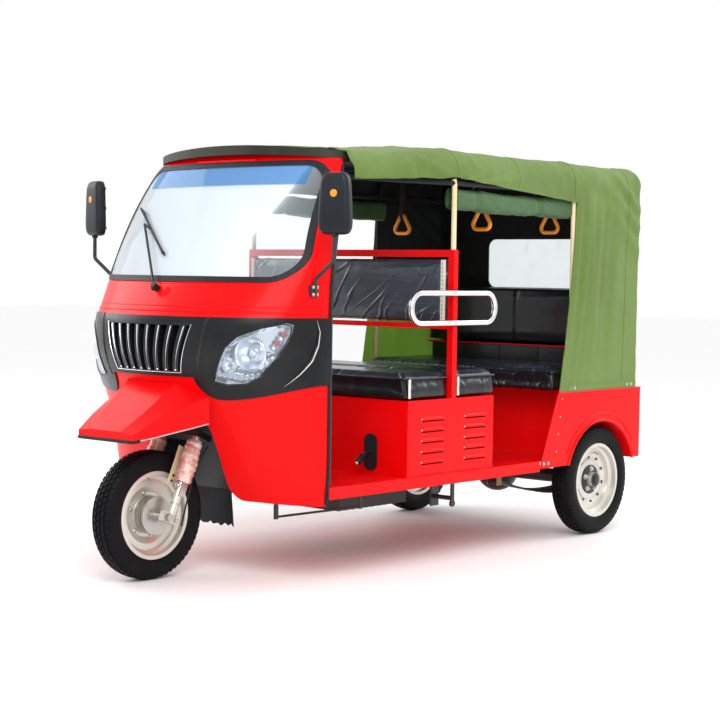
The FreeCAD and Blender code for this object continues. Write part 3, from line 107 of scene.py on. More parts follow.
class Wire:
    # a shader value that plain arithmetic turns into Math nodes
    def __init__(self, tree, socket):
        self.tree = tree
        self.socket = socket

    def math(self, kind, *values):
        node = self.tree.nodes.new("ShaderNodeMath")
        node.operation = kind
        for slot, value in zip(node.inputs, values):
            connect(self.tree, slot, value)
        return Wire(self.tree, node.outputs[0])

    def __add__(self, other):
        return self.math("ADD", self, other)

    def __sub__(self, other):
        return self.math("SUBTRACT", self, other)

    def __mul__(self, other):
        return self.math("MULTIPLY", self, other)

    def __radd__(self, other):
        return self.math("ADD", other, self)

    def __rsub__(self, other):
        return self.math("SUBTRACT", other, self)

    def __rmul__(self, other):
        return self.math("MULTIPLY", other, self)

    def sine(self):
        return self.math("SINE", self)

    def size(self):
        return self.math("ABSOLUTE", self)

    def least(self, other):
        return self.math("MINIMUM", self, other)


def connect(tree, socket, value):
    if isinstance(value, Wire):
        tree.links.new(value.socket, socket)
    elif value is not None:
        socket.default_value = value


class Finish:
    # a Principled material with object-space textures
    def __init__(self, name, colour, roughness, **settings):
        self.material = bpy.data.materials.new(name)
        self.material.use_nodes = True
        self.tree = self.material.node_tree
        self.shader = self.tree.nodes["Principled BSDF"]
        self.set("Base Color", (*colour, 1))
        self.set("Roughness", roughness)
        for key, value in settings.items():
            self.set(key, value)
        self.where = self.node("ShaderNodeTexCoord", "Object")

    def set(self, socket, value):
        connect(self.tree, self.shader.inputs[socket.replace("_", " ")], value)

    def node(self, kind, output=0, settings=None, **inputs):
        node = self.tree.nodes.new(kind)
        for key, value in (settings or {}).items():
            setattr(node, key, value)
        for key, value in inputs.items():
            slot = node.inputs[int(key[1:])] if key[0] == "i" and key[1:].isdigit() else node.inputs[key]
            connect(self.tree, slot, value)
        return Wire(self.tree, node.outputs[output])

    def axis(self, name):
        return self.node("ShaderNodeSeparateXYZ", name, Vector=self.where)

    def stretched(self, x, y, z):
        return self.node("ShaderNodeVectorMath", 0, {"operation": "MULTIPLY"}, i0=self.where, i1=(x, y, z))

    def noise(self, scale, detail=2.0, where=None, rough=0.5, warp=0.0):
        return self.node("ShaderNodeTexNoise", 0, None, Vector=where or self.where, Scale=scale, Detail=detail,
                         Roughness=rough, Distortion=warp)

    def cells(self, scale, kind="F1", where=None):
        return self.node("ShaderNodeTexVoronoi", 0, {"feature": kind}, Vector=where or self.where, Scale=scale)

    def span(self, value, low, high, start=0.0, end=1.0):
        return self.node("ShaderNodeMapRange", 0, {"clamp": True}, i0=value, i1=low, i2=high, i3=start, i4=end)

    def blend(self, share, *colours):
        first, second = [c if isinstance(c, Wire) else (*c, 1) for c in colours]
        return self.node("ShaderNodeMix", 2, {"data_type": "RGBA"}, i0=share, i6=first, i7=second)

    def bump(self, height, distance, strength=1.0):
        self.set("Normal", self.node("ShaderNodeBump", 0, None, Height=height, Distance=distance, Strength=strength))


def redPaint():
    f = Finish("redPaint", (0.8, 0.002, 0.004), 0.34, Coat_Weight=0.07, Coat_Roughness=0.04, Specular_IOR_Level=0.1)
    height = f.axis("Z")
    dust = f.span(height, 0.3, 0.75, 1, 0) * f.span(f.noise(9, 4), 0.45, 0.75)
    tone = f.blend(f.noise(2.2, 2), (0.7, 0.0008, 0.002), (0.84, 0.0015, 0.003))
    f.set("Base Color", f.blend(dust * 0.1, tone, (0.3, 0.05, 0.03)))
    f.set("Roughness", 0.27 + f.noise(6, 4) * 0.1 + dust * 0.2)
    f.bump(f.noise(320, 1) * 0.5 + f.noise(14, 2), 0.0006, 0.25)
    return f.material


def satinPlastic(name, dark, light, roughness, grain=420, depth=0.0004, shine=0.3):
    f = Finish(name, dark, roughness, Specular_IOR_Level=shine)
    f.set("Base Color", f.blend(f.span(f.noise(7, 4), 0.35, 0.7), dark, light))
    f.set("Roughness", roughness - 0.05 + f.noise(11, 3) * 0.12)
    f.bump(f.cells(grain) * 0.7 + f.noise(grain * 1.7, 1) * 0.5, depth, 0.5)
    return f.material


def metalPaint(name, dark, light, roughness, metallic=0.0, chips=None, scale=26):
    f = Finish(name, dark, roughness, Metallic=metallic)
    tone = f.blend(f.noise(5, 3), dark, light)
    if chips:
        wear = f.span(f.noise(scale, 6, rough=0.7), 0.6, 0.7) * 0.8
        tone = f.blend(wear, tone, chips)
        f.set("Roughness", roughness + wear * 0.25)
    else:
        f.set("Roughness", roughness - 0.04 + f.noise(17, 3) * 0.09)
    f.set("Base Color", tone)
    f.bump(f.noise(260, 2) + f.noise(30, 2), 0.0006, 0.3)
    return f.material


def canvasCloth(name, shade, light, worn, weave=2400, rough=0.9):
    f = Finish(name, shade, rough, Sheen_Weight=0.13, Sheen_Roughness=0.5, Specular_IOR_Level=0.22)
    broad = f.noise(1.6, 3)
    fine = f.noise(38, 5, rough=0.65)
    tone = f.blend(f.span(broad, 0.3, 0.7), shade, light)
    tone = f.blend(f.span(fine, 0.5, 0.85) * 0.35, tone, worn)
    f.set("Base Color", tone)
    f.set("Roughness", rough - 0.1 + fine * 0.2)
    x, y, z = f.axis("X"), f.axis("Y"), f.axis("Z")
    warp = (x * weave).sine()
    weft = ((y + z) * weave).sine()
    f.bump(warp * weft * 0.5 + f.noise(60, 5) * 1.8, 0.0008, 0.55)
    return f.material


def litCloth():
    # inner face of the side covers: black lining above; below, bare canvas painted a brighter green that also glows, a
    # painted stand-in for the daylight shining through it
    f = Finish("litCanvas", (0.16, 0.33, 0.03), 0.85, Emission_Strength=0.3)
    fine = f.noise(38, 5, rough=0.65)
    # greens brighter than the outer canvas: painted light for the daylight behind the cloth
    green = f.blend(f.span(f.noise(1.6, 3), 0.3, 0.7), (0.13, 0.29, 0.025), (0.21, 0.39, 0.05))
    tone = f.blend(f.span(f.axis("Z") + fine * 0.01, 1.2, 1.215), green, (0.006, 0.007, 0.008))
    f.set("Base Color", tone)
    # painted glow: emission stands in for light passing through the canvas
    f.set("Emission Color", tone)
    f.set("Roughness", 0.7 + fine * 0.2)
    f.bump(fine * 2 + f.noise(160, 2), 0.0008, 0.5)
    return f.material


def seatVinyl():
    # smooth blue-black leathercloth, browner low on its sides; upward faces painted lighter and bluer, partly the
    # cover's blue and partly a painted reflection of the light above
    f = Finish("seatVinyl", (0.006, 0.009, 0.018), 0.26, Coat_Weight=0.22, Coat_Roughness=0.08, Specular_IOR_Level=0.28)
    upward = f.node("ShaderNodeSeparateXYZ", "Z", Vector=f.node("ShaderNodeNewGeometry", "Normal"))
    tone = f.blend(f.noise(6, 4), (0.012, 0.018, 0.03), (0.022, 0.03, 0.046))
    # upward faces lighter and bluer: painted reflection of the light above; sides near black
    f.set("Base Color", f.blend(f.span(upward, 0.25, 0.7), (0.006, 0.007, 0.009), tone))
    f.set("Roughness", 0.22 + f.noise(9, 4) * 0.14)
    f.bump(f.noise(11, 3, warp=0.8) * 1.4 + f.cells(420) * 0.2, 0.0016, 0.45)
    return f.material


def wrappedVinyl():
    # slate leathercloth still in its clear wrap: thin slanting crinkles catch the light
    f = Finish("wrappedVinyl", (0.02, 0.026, 0.036), 0.3, Coat_Weight=0.6, Coat_Roughness=0.12,
               Specular_IOR_Level=0.45)
    slant = f.node("ShaderNodeMapping", 0, None, Vector=f.where, Rotation=(radians(-41), 0, 0),
                   Scale=(1, 0.8, 5.0))
    ripple = f.noise(5, 2, slant, warp=0.4)
    lines = f.span((ripple - 0.5).size(), 0.0, 0.02, 1, 0) * f.span(f.noise(4, 2), 0.4, 0.55)
    f.set("Base Color", f.blend(f.noise(6, 4), (0.02, 0.032, 0.046), (0.034, 0.05, 0.07)))
    f.set("Roughness", 0.26 + f.noise(14, 4) * 0.2)
    f.bump(lines * 1.2 + f.noise(18, 3, warp=1.0) * 0.7 + f.cells(420) * 0.15, 0.0018, 0.5)
    return f.material


def tyreRubber():
    f = Finish("tyreRubber", (0.006, 0.006, 0.007), 0.6, Specular_IOR_Level=0.1)
    worn = f.span(f.noise(18, 5, rough=0.7), 0.5, 0.85)
    f.set("Base Color", f.blend(worn * 0.4, (0.005, 0.005, 0.006), (0.024, 0.022, 0.021)))
    f.set("Roughness", 0.5 + worn * 0.3)
    f.bump(f.noise(220, 3) * 0.5 + f.noise(45, 3), 0.0007, 0.4)
    return f.material


def chromeFinish(name, colour, roughness, brushed=0.0):
    f = Finish(name, colour, roughness, Metallic=1.0)
    smear = f.noise(30, 5, rough=0.6)
    f.set("Base Color", f.blend(smear, colour, tuple(c * 0.86 for c in colour)))
    f.set("Roughness", roughness + smear * 0.08)
    f.bump(f.noise(180, 2, f.stretched(0.06, 1, 1)) * brushed + smear * 0.2, 0.0004, 0.3)
    return f.material


def clearSheet(name, tint, share, roughness, ripple, scale=3.0, smears=0.0):
    # thin see-through sheet: mostly passes light, with a glossy face
    f = Finish(name, tint, roughness, Specular_IOR_Level=0.5)
    clear = f.node("ShaderNodeBsdfTransparent", 0, None, Color=(*[0.5 + c * 0.5 for c in tint], 1))
    facing = f.node("ShaderNodeFresnel", 0, None, IOR=1.45)
    cover = (facing * 0.9 + share + f.span(f.noise(12, 5), 0.5, 0.8) * smears).least(1.0)
    mixed = f.node("ShaderNodeMixShader", 0, None, i0=cover, i1=clear, i2=Wire(f.tree, f.shader.outputs[0]))
    connect(f.tree, f.tree.nodes["Material Output"].inputs["Surface"], mixed)
    f.bump(f.noise(scale, 3), ripple, 0.5)
    return f.material


def crinkledWrap():
    f = Finish("crinkledWrap", (0.62, 0.42, 0.36), 0.22, Coat_Weight=0.7, Coat_Roughness=0.1)
    fold = f.cells(46, "DISTANCE_TO_EDGE", f.stretched(1, 1, 0.8))
    patch = f.span(f.noise(24, 4), 0.4, 0.62)
    f.set("Base Color", f.blend(patch, (0.72, 0.56, 0.48), (0.58, 0.22, 0.18)))
    f.set("Roughness", 0.18 + f.noise(30, 3) * 0.25)
    f.bump(f.span(fold, 0, 0.12, 1, 0) + f.noise(60, 3), 0.002, 0.7)
    return f.material


# looks by kind: colours, roughness, and what else the kind takes
looks = {
    clearSheet: {
        "screenGlass": ((0.9, 0.955, 0.985), 0.05, 0.03, 0.0004),
        "tintBand": ((0.1, 0.34, 0.72), 0.34, 0.06, 0.0004),
        "lampLens": ((0.9, 0.95, 1.0), 0.06, 0.02, 0.0008, 60.0),
        "clearVinyl": ((0.9, 0.95, 0.95), 0.05, 0.1, 0.004, 5.0, 0.05)},
    satinPlastic: {
        "blackRubber": ((0.005, 0.006, 0.008), (0.014, 0.015, 0.018), 0.5, 300, 0.0004, 0.25),
        "maskPlastic": ((0.004, 0.005, 0.007), (0.011, 0.011, 0.011), 0.26, 520, 0.0003, 0.24),
        "grillePlastic": ((0.006, 0.006, 0.007), (0.016, 0.016, 0.018), 0.22, 600, 0.0002),
        "roofLip": ((0.012, 0.013, 0.009), (0.03, 0.032, 0.018), 0.45, 300),
        "blackPlastic": ((0.006, 0.008, 0.012), (0.013, 0.016, 0.021), 0.42, 480, 0.0004, 0.25),
        "orangePlastic": ((1.0, 0.33, 0.02), (1.0, 0.43, 0.05), 0.3, 500, 0.0002),
        "lampRed": ((0.42, 0.004, 0.006), (0.62, 0.012, 0.014), 0.15, 700, 0.0002),
        "amber": ((0.8, 0.22, 0.01), (0.95, 0.34, 0.03), 0.14, 700, 0.0002)},
    metalPaint: {
        "blackFrame": ((0.01, 0.01, 0.011), (0.022, 0.022, 0.024), 0.35, 0.0, (0.05, 0.035, 0.025)),
        "silverPaint": ((0.56, 0.52, 0.43), (0.76, 0.75, 0.72), 0.3, 0.6),
        "bareSteel": ((0.42, 0.41, 0.38), (0.62, 0.61, 0.58), 0.35, 1.0, (0.25, 0.2, 0.15), 60),
        "underbodyBrown": ((0.24, 0.13, 0.055), (0.38, 0.24, 0.12), 0.5, 0.0, (0.08, 0.05, 0.03)),
        "creamTube": ((0.66, 0.54, 0.3), (0.8, 0.7, 0.46), 0.3),
        # engineMetal is near black as painted shade, so the plain block reads as shadowed underside
        "engineMetal": ((0.03, 0.03, 0.032), (0.065, 0.064, 0.062), 0.55, 0.3, (0.1, 0.08, 0.06))},
    chromeFinish: {
        "lampReflector": ((0.86, 0.88, 0.92), 0.12),
        "polishedTube": ((0.8, 0.81, 0.83), 0.16, 0.7),
        "mirrorGlass": ((0.82, 0.86, 0.9), 0.02)},
    canvasCloth: {
        "greenCanvas": ((0.108, 0.172, 0.034), (0.162, 0.25, 0.06), (0.22, 0.31, 0.1)),
        "blackLining": ((0.006, 0.007, 0.008), (0.014, 0.015, 0.016), (0.022, 0.022, 0.022), 1800, 0.75),
        "greenCurtain": ((0.03, 0.088, 0.022), (0.056, 0.135, 0.04), (0.11, 0.2, 0.085), 1500, 0.42),
        "blackWebbing": ((0.008, 0.008, 0.009), (0.02, 0.02, 0.022), (0.05, 0.05, 0.05), 3200, 0.8),
        "creamTape": ((0.62, 0.58, 0.48), (0.78, 0.74, 0.64), (0.4, 0.36, 0.3), 1500, 0.5)}}
materials = {"redPaint": redPaint(), "bootRubber": crinkledWrap(), "tyre": tyreRubber(), "blackVinyl": seatVinyl(),
             "wrappedVinyl": wrappedVinyl(), "litCanvas": litCloth()}
for kind, finishes in looks.items():
    materials.update({name: kind(name, *settings) for name, settings in finishes.items()})


def slotLook(slot):
    # a slot of the frame and its look share a name: red_paint and redPaint
    first, *others = slot.split("_")
    return materials[first + "".join(word.capitalize() for word in others)]


for part in frame["record"]["subparts"]:
    item = nodes[part["node"]]
    for slot in item.material_slots:
        slot.material = slotLook(part["material_slot"])
print("materials ready:", len(materials))


# shapes


def smoothStep(value):
    value = min(1.0, max(0.0, value))
    return value * value * (3 - 2 * value)


def rising(value, start, width):
    # 0 up to a start, softly 1 a width further on
    return smoothStep((value - start) / width)


def falling(value, end, width):
    # 1 far below an end, softly 0 at it
    return smoothStep((end - value) / width)


def bell(value, middle, width):
    return exp(-((value - middle) / width) ** 2)


def along(first, last, count):
    # evenly spaced values from first to last, both with it
    return [first + (last - first) * k / count for k in range(count + 1)]


def circle(count, turn=0.0):
    return [turn + 2 * pi * k / count for k in range(count)]


def wander(point, seed=0.0):
    return noise.noise(point + Vector((seed, seed * 1.7, -seed)))


def sideways(direction):
    # two directions square to one another and to this one
    ahead = direction.normalized()
    other = Vector((0, 0, 1)) if abs(ahead.z) < 0.9 else Vector((1, 0, 0))
    across = ahead.cross(other).normalized()
    return across, across.cross(ahead).normalized()


def faceOutward(mesh):
    fixer = bmesh.new()
    fixer.from_mesh(mesh)
    bmesh.ops.recalc_face_normals(fixer, faces=fixer.faces)
    fixer.to_mesh(mesh)
    fixer.free()


def finer(path, step, least=1):
    # the same path with points no further apart than a step
    made = []
    for a, b in zip(path, path[1:]):
        count = max(least, int((b - a).length / step))
        made += [a.lerp(b, k / count) for k in range(count)]
    return made + [path[-1]]


def arcThrough(first, middle, last, count):
    # points of the circle through three points that share an x
    a, b, c = [Vector((p[0], p[1])) for p in (first, middle, last)]
    d = 2 * (a.x * (b.y - c.y) + b.x * (c.y - a.y) + c.x * (a.y - b.y))
    ux = (a.length_squared * (b.y - c.y) + b.length_squared * (c.y - a.y) + c.length_squared * (a.y - b.y)) / d
    uy = (a.length_squared * (c.x - b.x) + b.length_squared * (a.x - c.x) + c.length_squared * (b.x - a.x)) / d
    centre = Vector((ux, uy))
    start = atan2(a.y - uy, a.x - ux)
    mid = atan2(b.y - uy, b.x - ux)
    end = atan2(c.y - uy, c.x - ux)
    turn = (end - start) % (2 * pi)
    if (mid - start) % (2 * pi) > turn:
        turn -= 2 * pi
    radius = (a - centre).length
    return [(ux + radius * cos(start + turn * i / count), uy + radius * sin(start + turn * i / count))
            for i in range(count + 1)]


class Shape:
    # gathers faces, then makes one piece of them
    def __init__(self):
        self.points = []
        self.faces = []

    def add(self, points, faces):
        start = len(self.points)
        self.points += [Vector(p) for p in points]
        self.faces += [[start + i for i in face] for face in faces]

    def grid(self, rows, around=False, closed=False, caps=False):
        # around joins each row's ends, closed joins the last row to the first
        wide = len(rows[0])
        faces = []
        for i in range(len(rows) if closed else len(rows) - 1):
            k = (i + 1) % len(rows)
            for j in range(wide if around else wide - 1):
                m = (j + 1) % wide
                faces.append((i * wide + j, i * wide + m, k * wide + m, k * wide + j))
        if caps:
            faces.append(tuple(range(wide))[::-1])
            faces.append(tuple((len(rows) - 1) * wide + j for j in range(wide)))
        self.add([p for row in rows for p in row], faces)

    def tube(self, path, radius, sides=12, closed=False, flat=1.0):
        # round or flattened tube along a path; radius is one number or one per point
        path = [Vector(p) for p in path]
        count = len(path)
        across = None
        rows = []
        for i, point in enumerate(path):
            after = path[(i + 1) % count] if closed or i < count - 1 else point
            before = path[i - 1] if closed or i > 0 else point
            ahead = (after - before).normalized()
            if across is None:
                across = sideways(ahead)[0]
            else:
                across = (across - ahead * across.dot(ahead)).normalized()
            over = across.cross(ahead)
            r = radius[i] if isinstance(radius, (list, tuple)) else radius
            rows.append([point + across * (r * cos(a)) + over * (r * flat * sin(a)) for a in circle(sides)])
        self.grid(rows, around=True, closed=closed, caps=not closed)

    def lathe(self, centre, axis, profile, sides=48):
        # profile pairs: distance from the axis, distance along it
        centre, axis = Vector(centre), Vector(axis).normalized()
        across, over = sideways(axis)
        rows = [[centre + axis * far + (across * cos(a) + over * sin(a)) * max(r, 0.00002)
                 for a in circle(sides)] for r, far in profile]
        self.grid(rows, around=True)

    def block(self, low, high, bevel=0.002, turn=None, segments=2):
        # box with softened edges
        low, high = Vector(low), Vector(high)
        mesh = bmesh.new()
        bmesh.ops.create_cube(mesh, size=1)
        bmesh.ops.scale(mesh, vec=high - low, verts=mesh.verts)
        bmesh.ops.bevel(mesh, geom=mesh.edges[:], offset=bevel, segments=segments, profile=0.7, affect="EDGES")
        matrix = Matrix.Translation((low + high) / 2) @ (turn.to_4x4() if turn else Matrix.Identity(4))
        bmesh.ops.transform(mesh, matrix=matrix, verts=mesh.verts)
        mesh.verts.index_update()
        self.add([v.co.copy() for v in mesh.verts], [[v.index for v in f.verts] for f in mesh.faces])
        mesh.free()

    def blockAt(self, middle, half, bevel=0.002, turn=None):
        self.block(middle - Vector(half), middle + Vector(half), bevel, turn)

    def bolt(self, at, normal, size=0.006, washer=True):
        # hexagon head on a washer
        if washer:
            self.lathe(at, normal, [(size * 1.35, -0.001), (size * 1.35, size * 0.2), (size * 0.9, size * 0.28)], 20)
        head = [(size, size * 0.1), (size, size * 0.75), (size * 0.82, size * 0.92), (0, size * 0.95)]
        self.lathe(at, normal, head, 6)

    def dome(self, at, normal, size=0.005, rise=0.5, sides=20):
        bulge = [(size * cos(a * pi / 10), size * rise * sin(a * pi / 10)) for a in range(6)]
        self.lathe(at, normal, [(size, -0.001)] + bulge, sides)

    def make(self, name, slot, sharp=60, body="body", look=None):
        mesh = bpy.data.meshes.new(name)
        mesh.from_pydata([tuple(p) for p in self.points], [], self.faces)
        mesh.materials.append(materials[look] if look else slotLook(slot))
        mesh.validate()
        mesh.update()
        faceOutward(mesh)
        mesh.shade_smooth()
        mesh.set_sharp_from_angle(angle=radians(sharp))
        piece = addObject(name, mesh)
        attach(piece, body)
        return piece


trees = {}


def hit(name, origin, direction):
    # where a straight line first meets a CAD node, and the surface's direction there
    if name not in trees:
        data = nodes[name].data
        trees[name] = BVHTree.FromPolygons([v.co.copy() for v in data.vertices],
                                           [tuple(p.vertices) for p in data.polygons])
    point, normal = trees[name].ray_cast(Vector(origin), Vector(direction).normalized())[:2]
    if point is None:
        return None, None
    return point, -normal if normal.dot(Vector(direction)) > 0 else normal


def sideHit(name, side, x, z):
    # the same, looking in from one side
    return hit(name, (x, side * 1.2, z), (0, -side, 0))


def frontHit(name, y, z):
    # the same, looking back from ahead
    return hit(name, (2.2, y, z), (-1, 0, 0))


def cabSkin(name, angle, z):
    # point on the nose at an angle round from straight ahead; beyond the curved part it runs back along the side
    out = Vector((cos(angle), sin(angle), 0))
    return hit(name, Vector((place(0.39), 0, z)) + out * 2, -out)


def traced(places, look, lift=0.0):
    # surface points, lifted off, and directions at all places where the look meets the node
    found = [pair for pair in (look(*p) for p in places) if pair[0] is not None]
    return [point + normal * lift for point, normal in found], [normal for point, normal in found]


def surfaceLine(node, ends, count, lift=0.0):
    # points and directions on a node's front, between two places given as (y, z)
    (y, z), (endY, endZ) = ends
    places = [(node, y + (endY - y) * k / count, z + (endZ - z) * k / count) for k in range(count + 1)]
    return traced(places, frontHit, lift)


def strip(shape, path, normals, width, rise, taper=None):
    # raised rounded band that follows a surface; half width and height as shares of the whole
    section = ((1, None), (0.92, 0.55), (0.6, 0.95), (0, 1), (-0.6, 0.95), (-0.92, 0.55), (-1, None))
    rows = []
    for i, (point, normal) in enumerate(zip(path, normals)):
        ahead = path[min(i + 1, len(path) - 1)] - path[max(i - 1, 0)]
        across = ahead.cross(normal).normalized()
        share = taper[i] if taper else 1.0
        w, h = width * share / 2, rise * (0.3 + 0.7 * share)
        rows.append([point + across * (w * side) + normal * (-0.001 if up is None else h * up)
                     for side, up in section])
    shape.grid(rows, around=True, caps=True)


print("shape tools ready")


# canopy: one cloth over the bows, closed at the back round the window

# stations hold x, half width, eave and crown; edges hold x and the height of the cloth's lower edge
canopySpec = {
    "stations": [(0.61525, 0.556, 1.612, 1.756), (0.02525, 0.612, 1.652, 1.79), (-1.42075, 0.612, 1.652, 1.78)],
    "edge": [(0.62, 1.602), (0.02525, 1.634), (-0.86975, 1.566)],
    "shoulder": 0.13, "crownDrop": 0.026, "inset": 0.003, "thick": 0.0026, "round": 0.014, "hem": 0.6935,
    "coverTop": -0.86975, "coverHem": -0.76275, "coverCurve": 1.5, "ripple": 0.006,
    "window": {"half": 0.3, "low": 1.165, "high": 1.412, "corner": 0.0433},
    "shoulderSteps": 12, "roofSteps": 66, "stripSteps": 9, "coverSteps": 60, "spacing": 0.0145, "backSteps": 24,
    "roundSteps": 6, "roundTurn": 15, "hemSteps": 60}
# folds hold offset, width and rise; creases hold x, z, end x, end z, width and rise
foldSpec = {
    "bows": [0.61525, 0.02525, -0.86775, -1.41], "sag": 0.011, "bunch": 0.007, "back": 0.01, "tuck": 0.005,
    "eave": 0.012, "grain": 0.0016, "foldDepth": 2.0, "creaseDepth": 1.7,
    "folds": [(-0.035, 0.02, 0.005), (-0.085, 0.026, 0.007), (-0.14, 0.022, 0.006), (-0.205, 0.034, 0.008),
              (-0.265, 0.022, 0.004), (-0.34, 0.06, 0.005)],
    "creases": [(0.6, 1.615, 0.42, 1.715, 0.016, 0.007), (0.56, 1.61, 0.3, 1.69, 0.018, 0.005),
                (0.01, 1.64, -0.1, 1.72, 0.018, 0.008), (-0.045, 1.625, -0.24, 1.69, 0.016, 0.007),
                (-0.09, 1.61, -0.42, 1.655, 0.018, 0.005), (0.075, 1.64, 0.24, 1.7, 0.018, 0.005),
                (-0.9, 1.59, -1.06, 1.7, 0.02, 0.007), (-1.39, 1.56, -1.22, 1.69, 0.022, 0.008),
                (-1.395, 1.47, -1.13, 1.64, 0.026, 0.007), (-1.4, 1.35, -1.15, 1.56, 0.03, 0.005)]}
# what the cloth keeps clear of: posts and rails inside, its own greatest size, the cab roof, the corner posts
clearSpec = {
    "posts": {"beyond": 0.604, "below": 1.645, "ahead": -1.4, "at": 0.6092},
    "widest": 0.626, "highest": 1.7905, "rearmost": -1.426, "backFront": -1.4174,
    "lap": {"x": 0.56, "z": 1.66, "length": 0.03, "drop": 0.005, "dropHalf": 0.4},
    "roof": {"half": 0.53, "crown": 1.7458, "fall": 0.1145, "edge": 0.517},
    "corner": {"x": -1.40345, "y": 0.5947, "radius": 0.0146, "behind": -1.385, "beyond": 0.57}}


def between(rows, x):
    # values between the two of three rows that hold an x, each row starting with its x
    ahead, behind = rows[:2] if x > rows[1][0] else rows[1:]
    share = (x - ahead[0]) / (behind[0] - ahead[0])
    return ahead, behind, share


def stationAt(x):
    ahead, behind, share = between(canopySpec["stations"], x)
    return [a + (b - a) * share for a, b in zip(ahead, behind)][1:]


def edgeHeight(x):
    ahead, behind, share = between(canopySpec["edge"], x)
    return ahead[1] + (behind[1] - ahead[1]) * min(1.0, share)


def archPoints(x, shrink):
    # eave to eave over the top, as (y, z)
    spec = canopySpec
    half, eave, crown = stationAt(x)
    w, top, edge, r, drop = half - shrink, crown - shrink, eave - shrink, spec["shoulder"], spec["crownDrop"]
    bulge = (w - r * 0.25, (edge + top - drop) / 2 + r * 0.22)
    side = arcThrough((w, edge), bulge, (w - r, top - drop), spec["shoulderSteps"])
    roof = arcThrough((w - r, top - drop), (0, top), (r - w, top - drop), spec["roofSteps"])
    return side[:-1] + roof + [(-y, z) for y, z in reversed(side)][1:]


def creaseAt(point):
    # slanted folds on the sides, each along a line from (x, z) to (x, z)
    height = 0.0
    for x, z, endX, endZ, width, rise in foldSpec["creases"]:
        dx, dz = endX - x, endZ - z
        share = ((point.x - x) * dx + (point.z - z) * dz) / (dx * dx + dz * dz)
        away = ((point.x - x) * dz - (point.z - z) * dx) / hypot(dx, dz)
        if -0.3 < share < 1.3:
            height += rise * bell(away, 0, width) * rising(share, -0.25, 0.35) * falling(share, 1.25, 0.45)
    return height * foldSpec["creaseDepth"]


def foldAt(point, seed):
    # long folds that hang on the side covers, fanned out below
    lean = (point.x - canopySpec["coverTop"]) - (1.56 - point.z) * 0.11
    height = 0.0
    for offset, width, rise in foldSpec["folds"]:
        shift = 0.05 * wander(Vector((seed, offset * 9, point.z * 1.3)))
        shift += 0.22 * (1.512 - point.z) * (-offset - 0.05)
        height += rise * bell(lean + shift, offset, width)
    return height * foldSpec["foldDepth"] * (0.3 + 0.7 * rising(point.z, 0.72, 0.45))


def sagAt(point, normal):
    # the roof hangs a little between its bows
    hang = 0.0
    for ahead, behind in zip(foldSpec["bows"], foldSpec["bows"][1:]):
        if behind <= point.x <= ahead:
            hang = sin(pi * (ahead - point.x) / (ahead - behind))
    return foldSpec["sag"] * hang ** 0.7 * smoothStep(abs(normal.z) * 1.2) * falling(abs(point.y), 0.6, 0.12)


def clothPush(point, normal):
    # sag, folds, creases and small wrinkles together; metres along the normal
    spec = foldSpec
    x, y, z = point
    seed = 3.1 if y > 0 else 7.7
    onSide = rising(abs(normal.y), 0.5, 0.3)
    onBack = rising(abs(normal.x), 0.5, 0.3)
    tucks = abs(wander(Vector((x * 7.0, y * 5.0, z * 9.0)), 4.0))
    push = -sagAt(point, normal)
    push += falling(x, -0.74, 0.06) * onSide * falling(z, 1.64, 0.12) * foldAt(point, seed)
    push += onSide * creaseAt(point)
    push += spec["bunch"] * bell(x, -0.02, 0.05) * falling(z, 1.7, 0.1) * onSide * sin(x * 190 + z * 60)
    push += spec["back"] * onBack * (0.35 + wander(Vector((1.3, y * 5.2, z * 1.7)), 2.0))
    push += spec["tuck"] * (0.35 - tucks) * (0.3 + 0.7 * rising(z, 1.3, 0.3))
    push += spec["eave"] * bell(z, 1.6, 0.06) * onSide * wander(Vector((x * 13.0, 0, z * 6.0 + seed)), 6.0)
    return push + spec["grain"] * wander(point * 28.0, 9.0)


def windowEdge(direction):
    # distance from the window's centre to its rounded outline, found by halving
    window = canopySpec["window"]
    corner, tall = window["corner"], (window["high"] - window["low"]) / 2
    inside, outside = 0.0, 2.0
    for step in range(30):
        reach = (inside + outside) / 2
        dy = max(0, abs(direction.x) * reach - (window["half"] - corner))
        dz = max(0, abs(direction.y) * reach - (tall - corner))
        if hypot(dy, dz) > corner:
            outside = reach
        else:
            inside = reach
    return reach


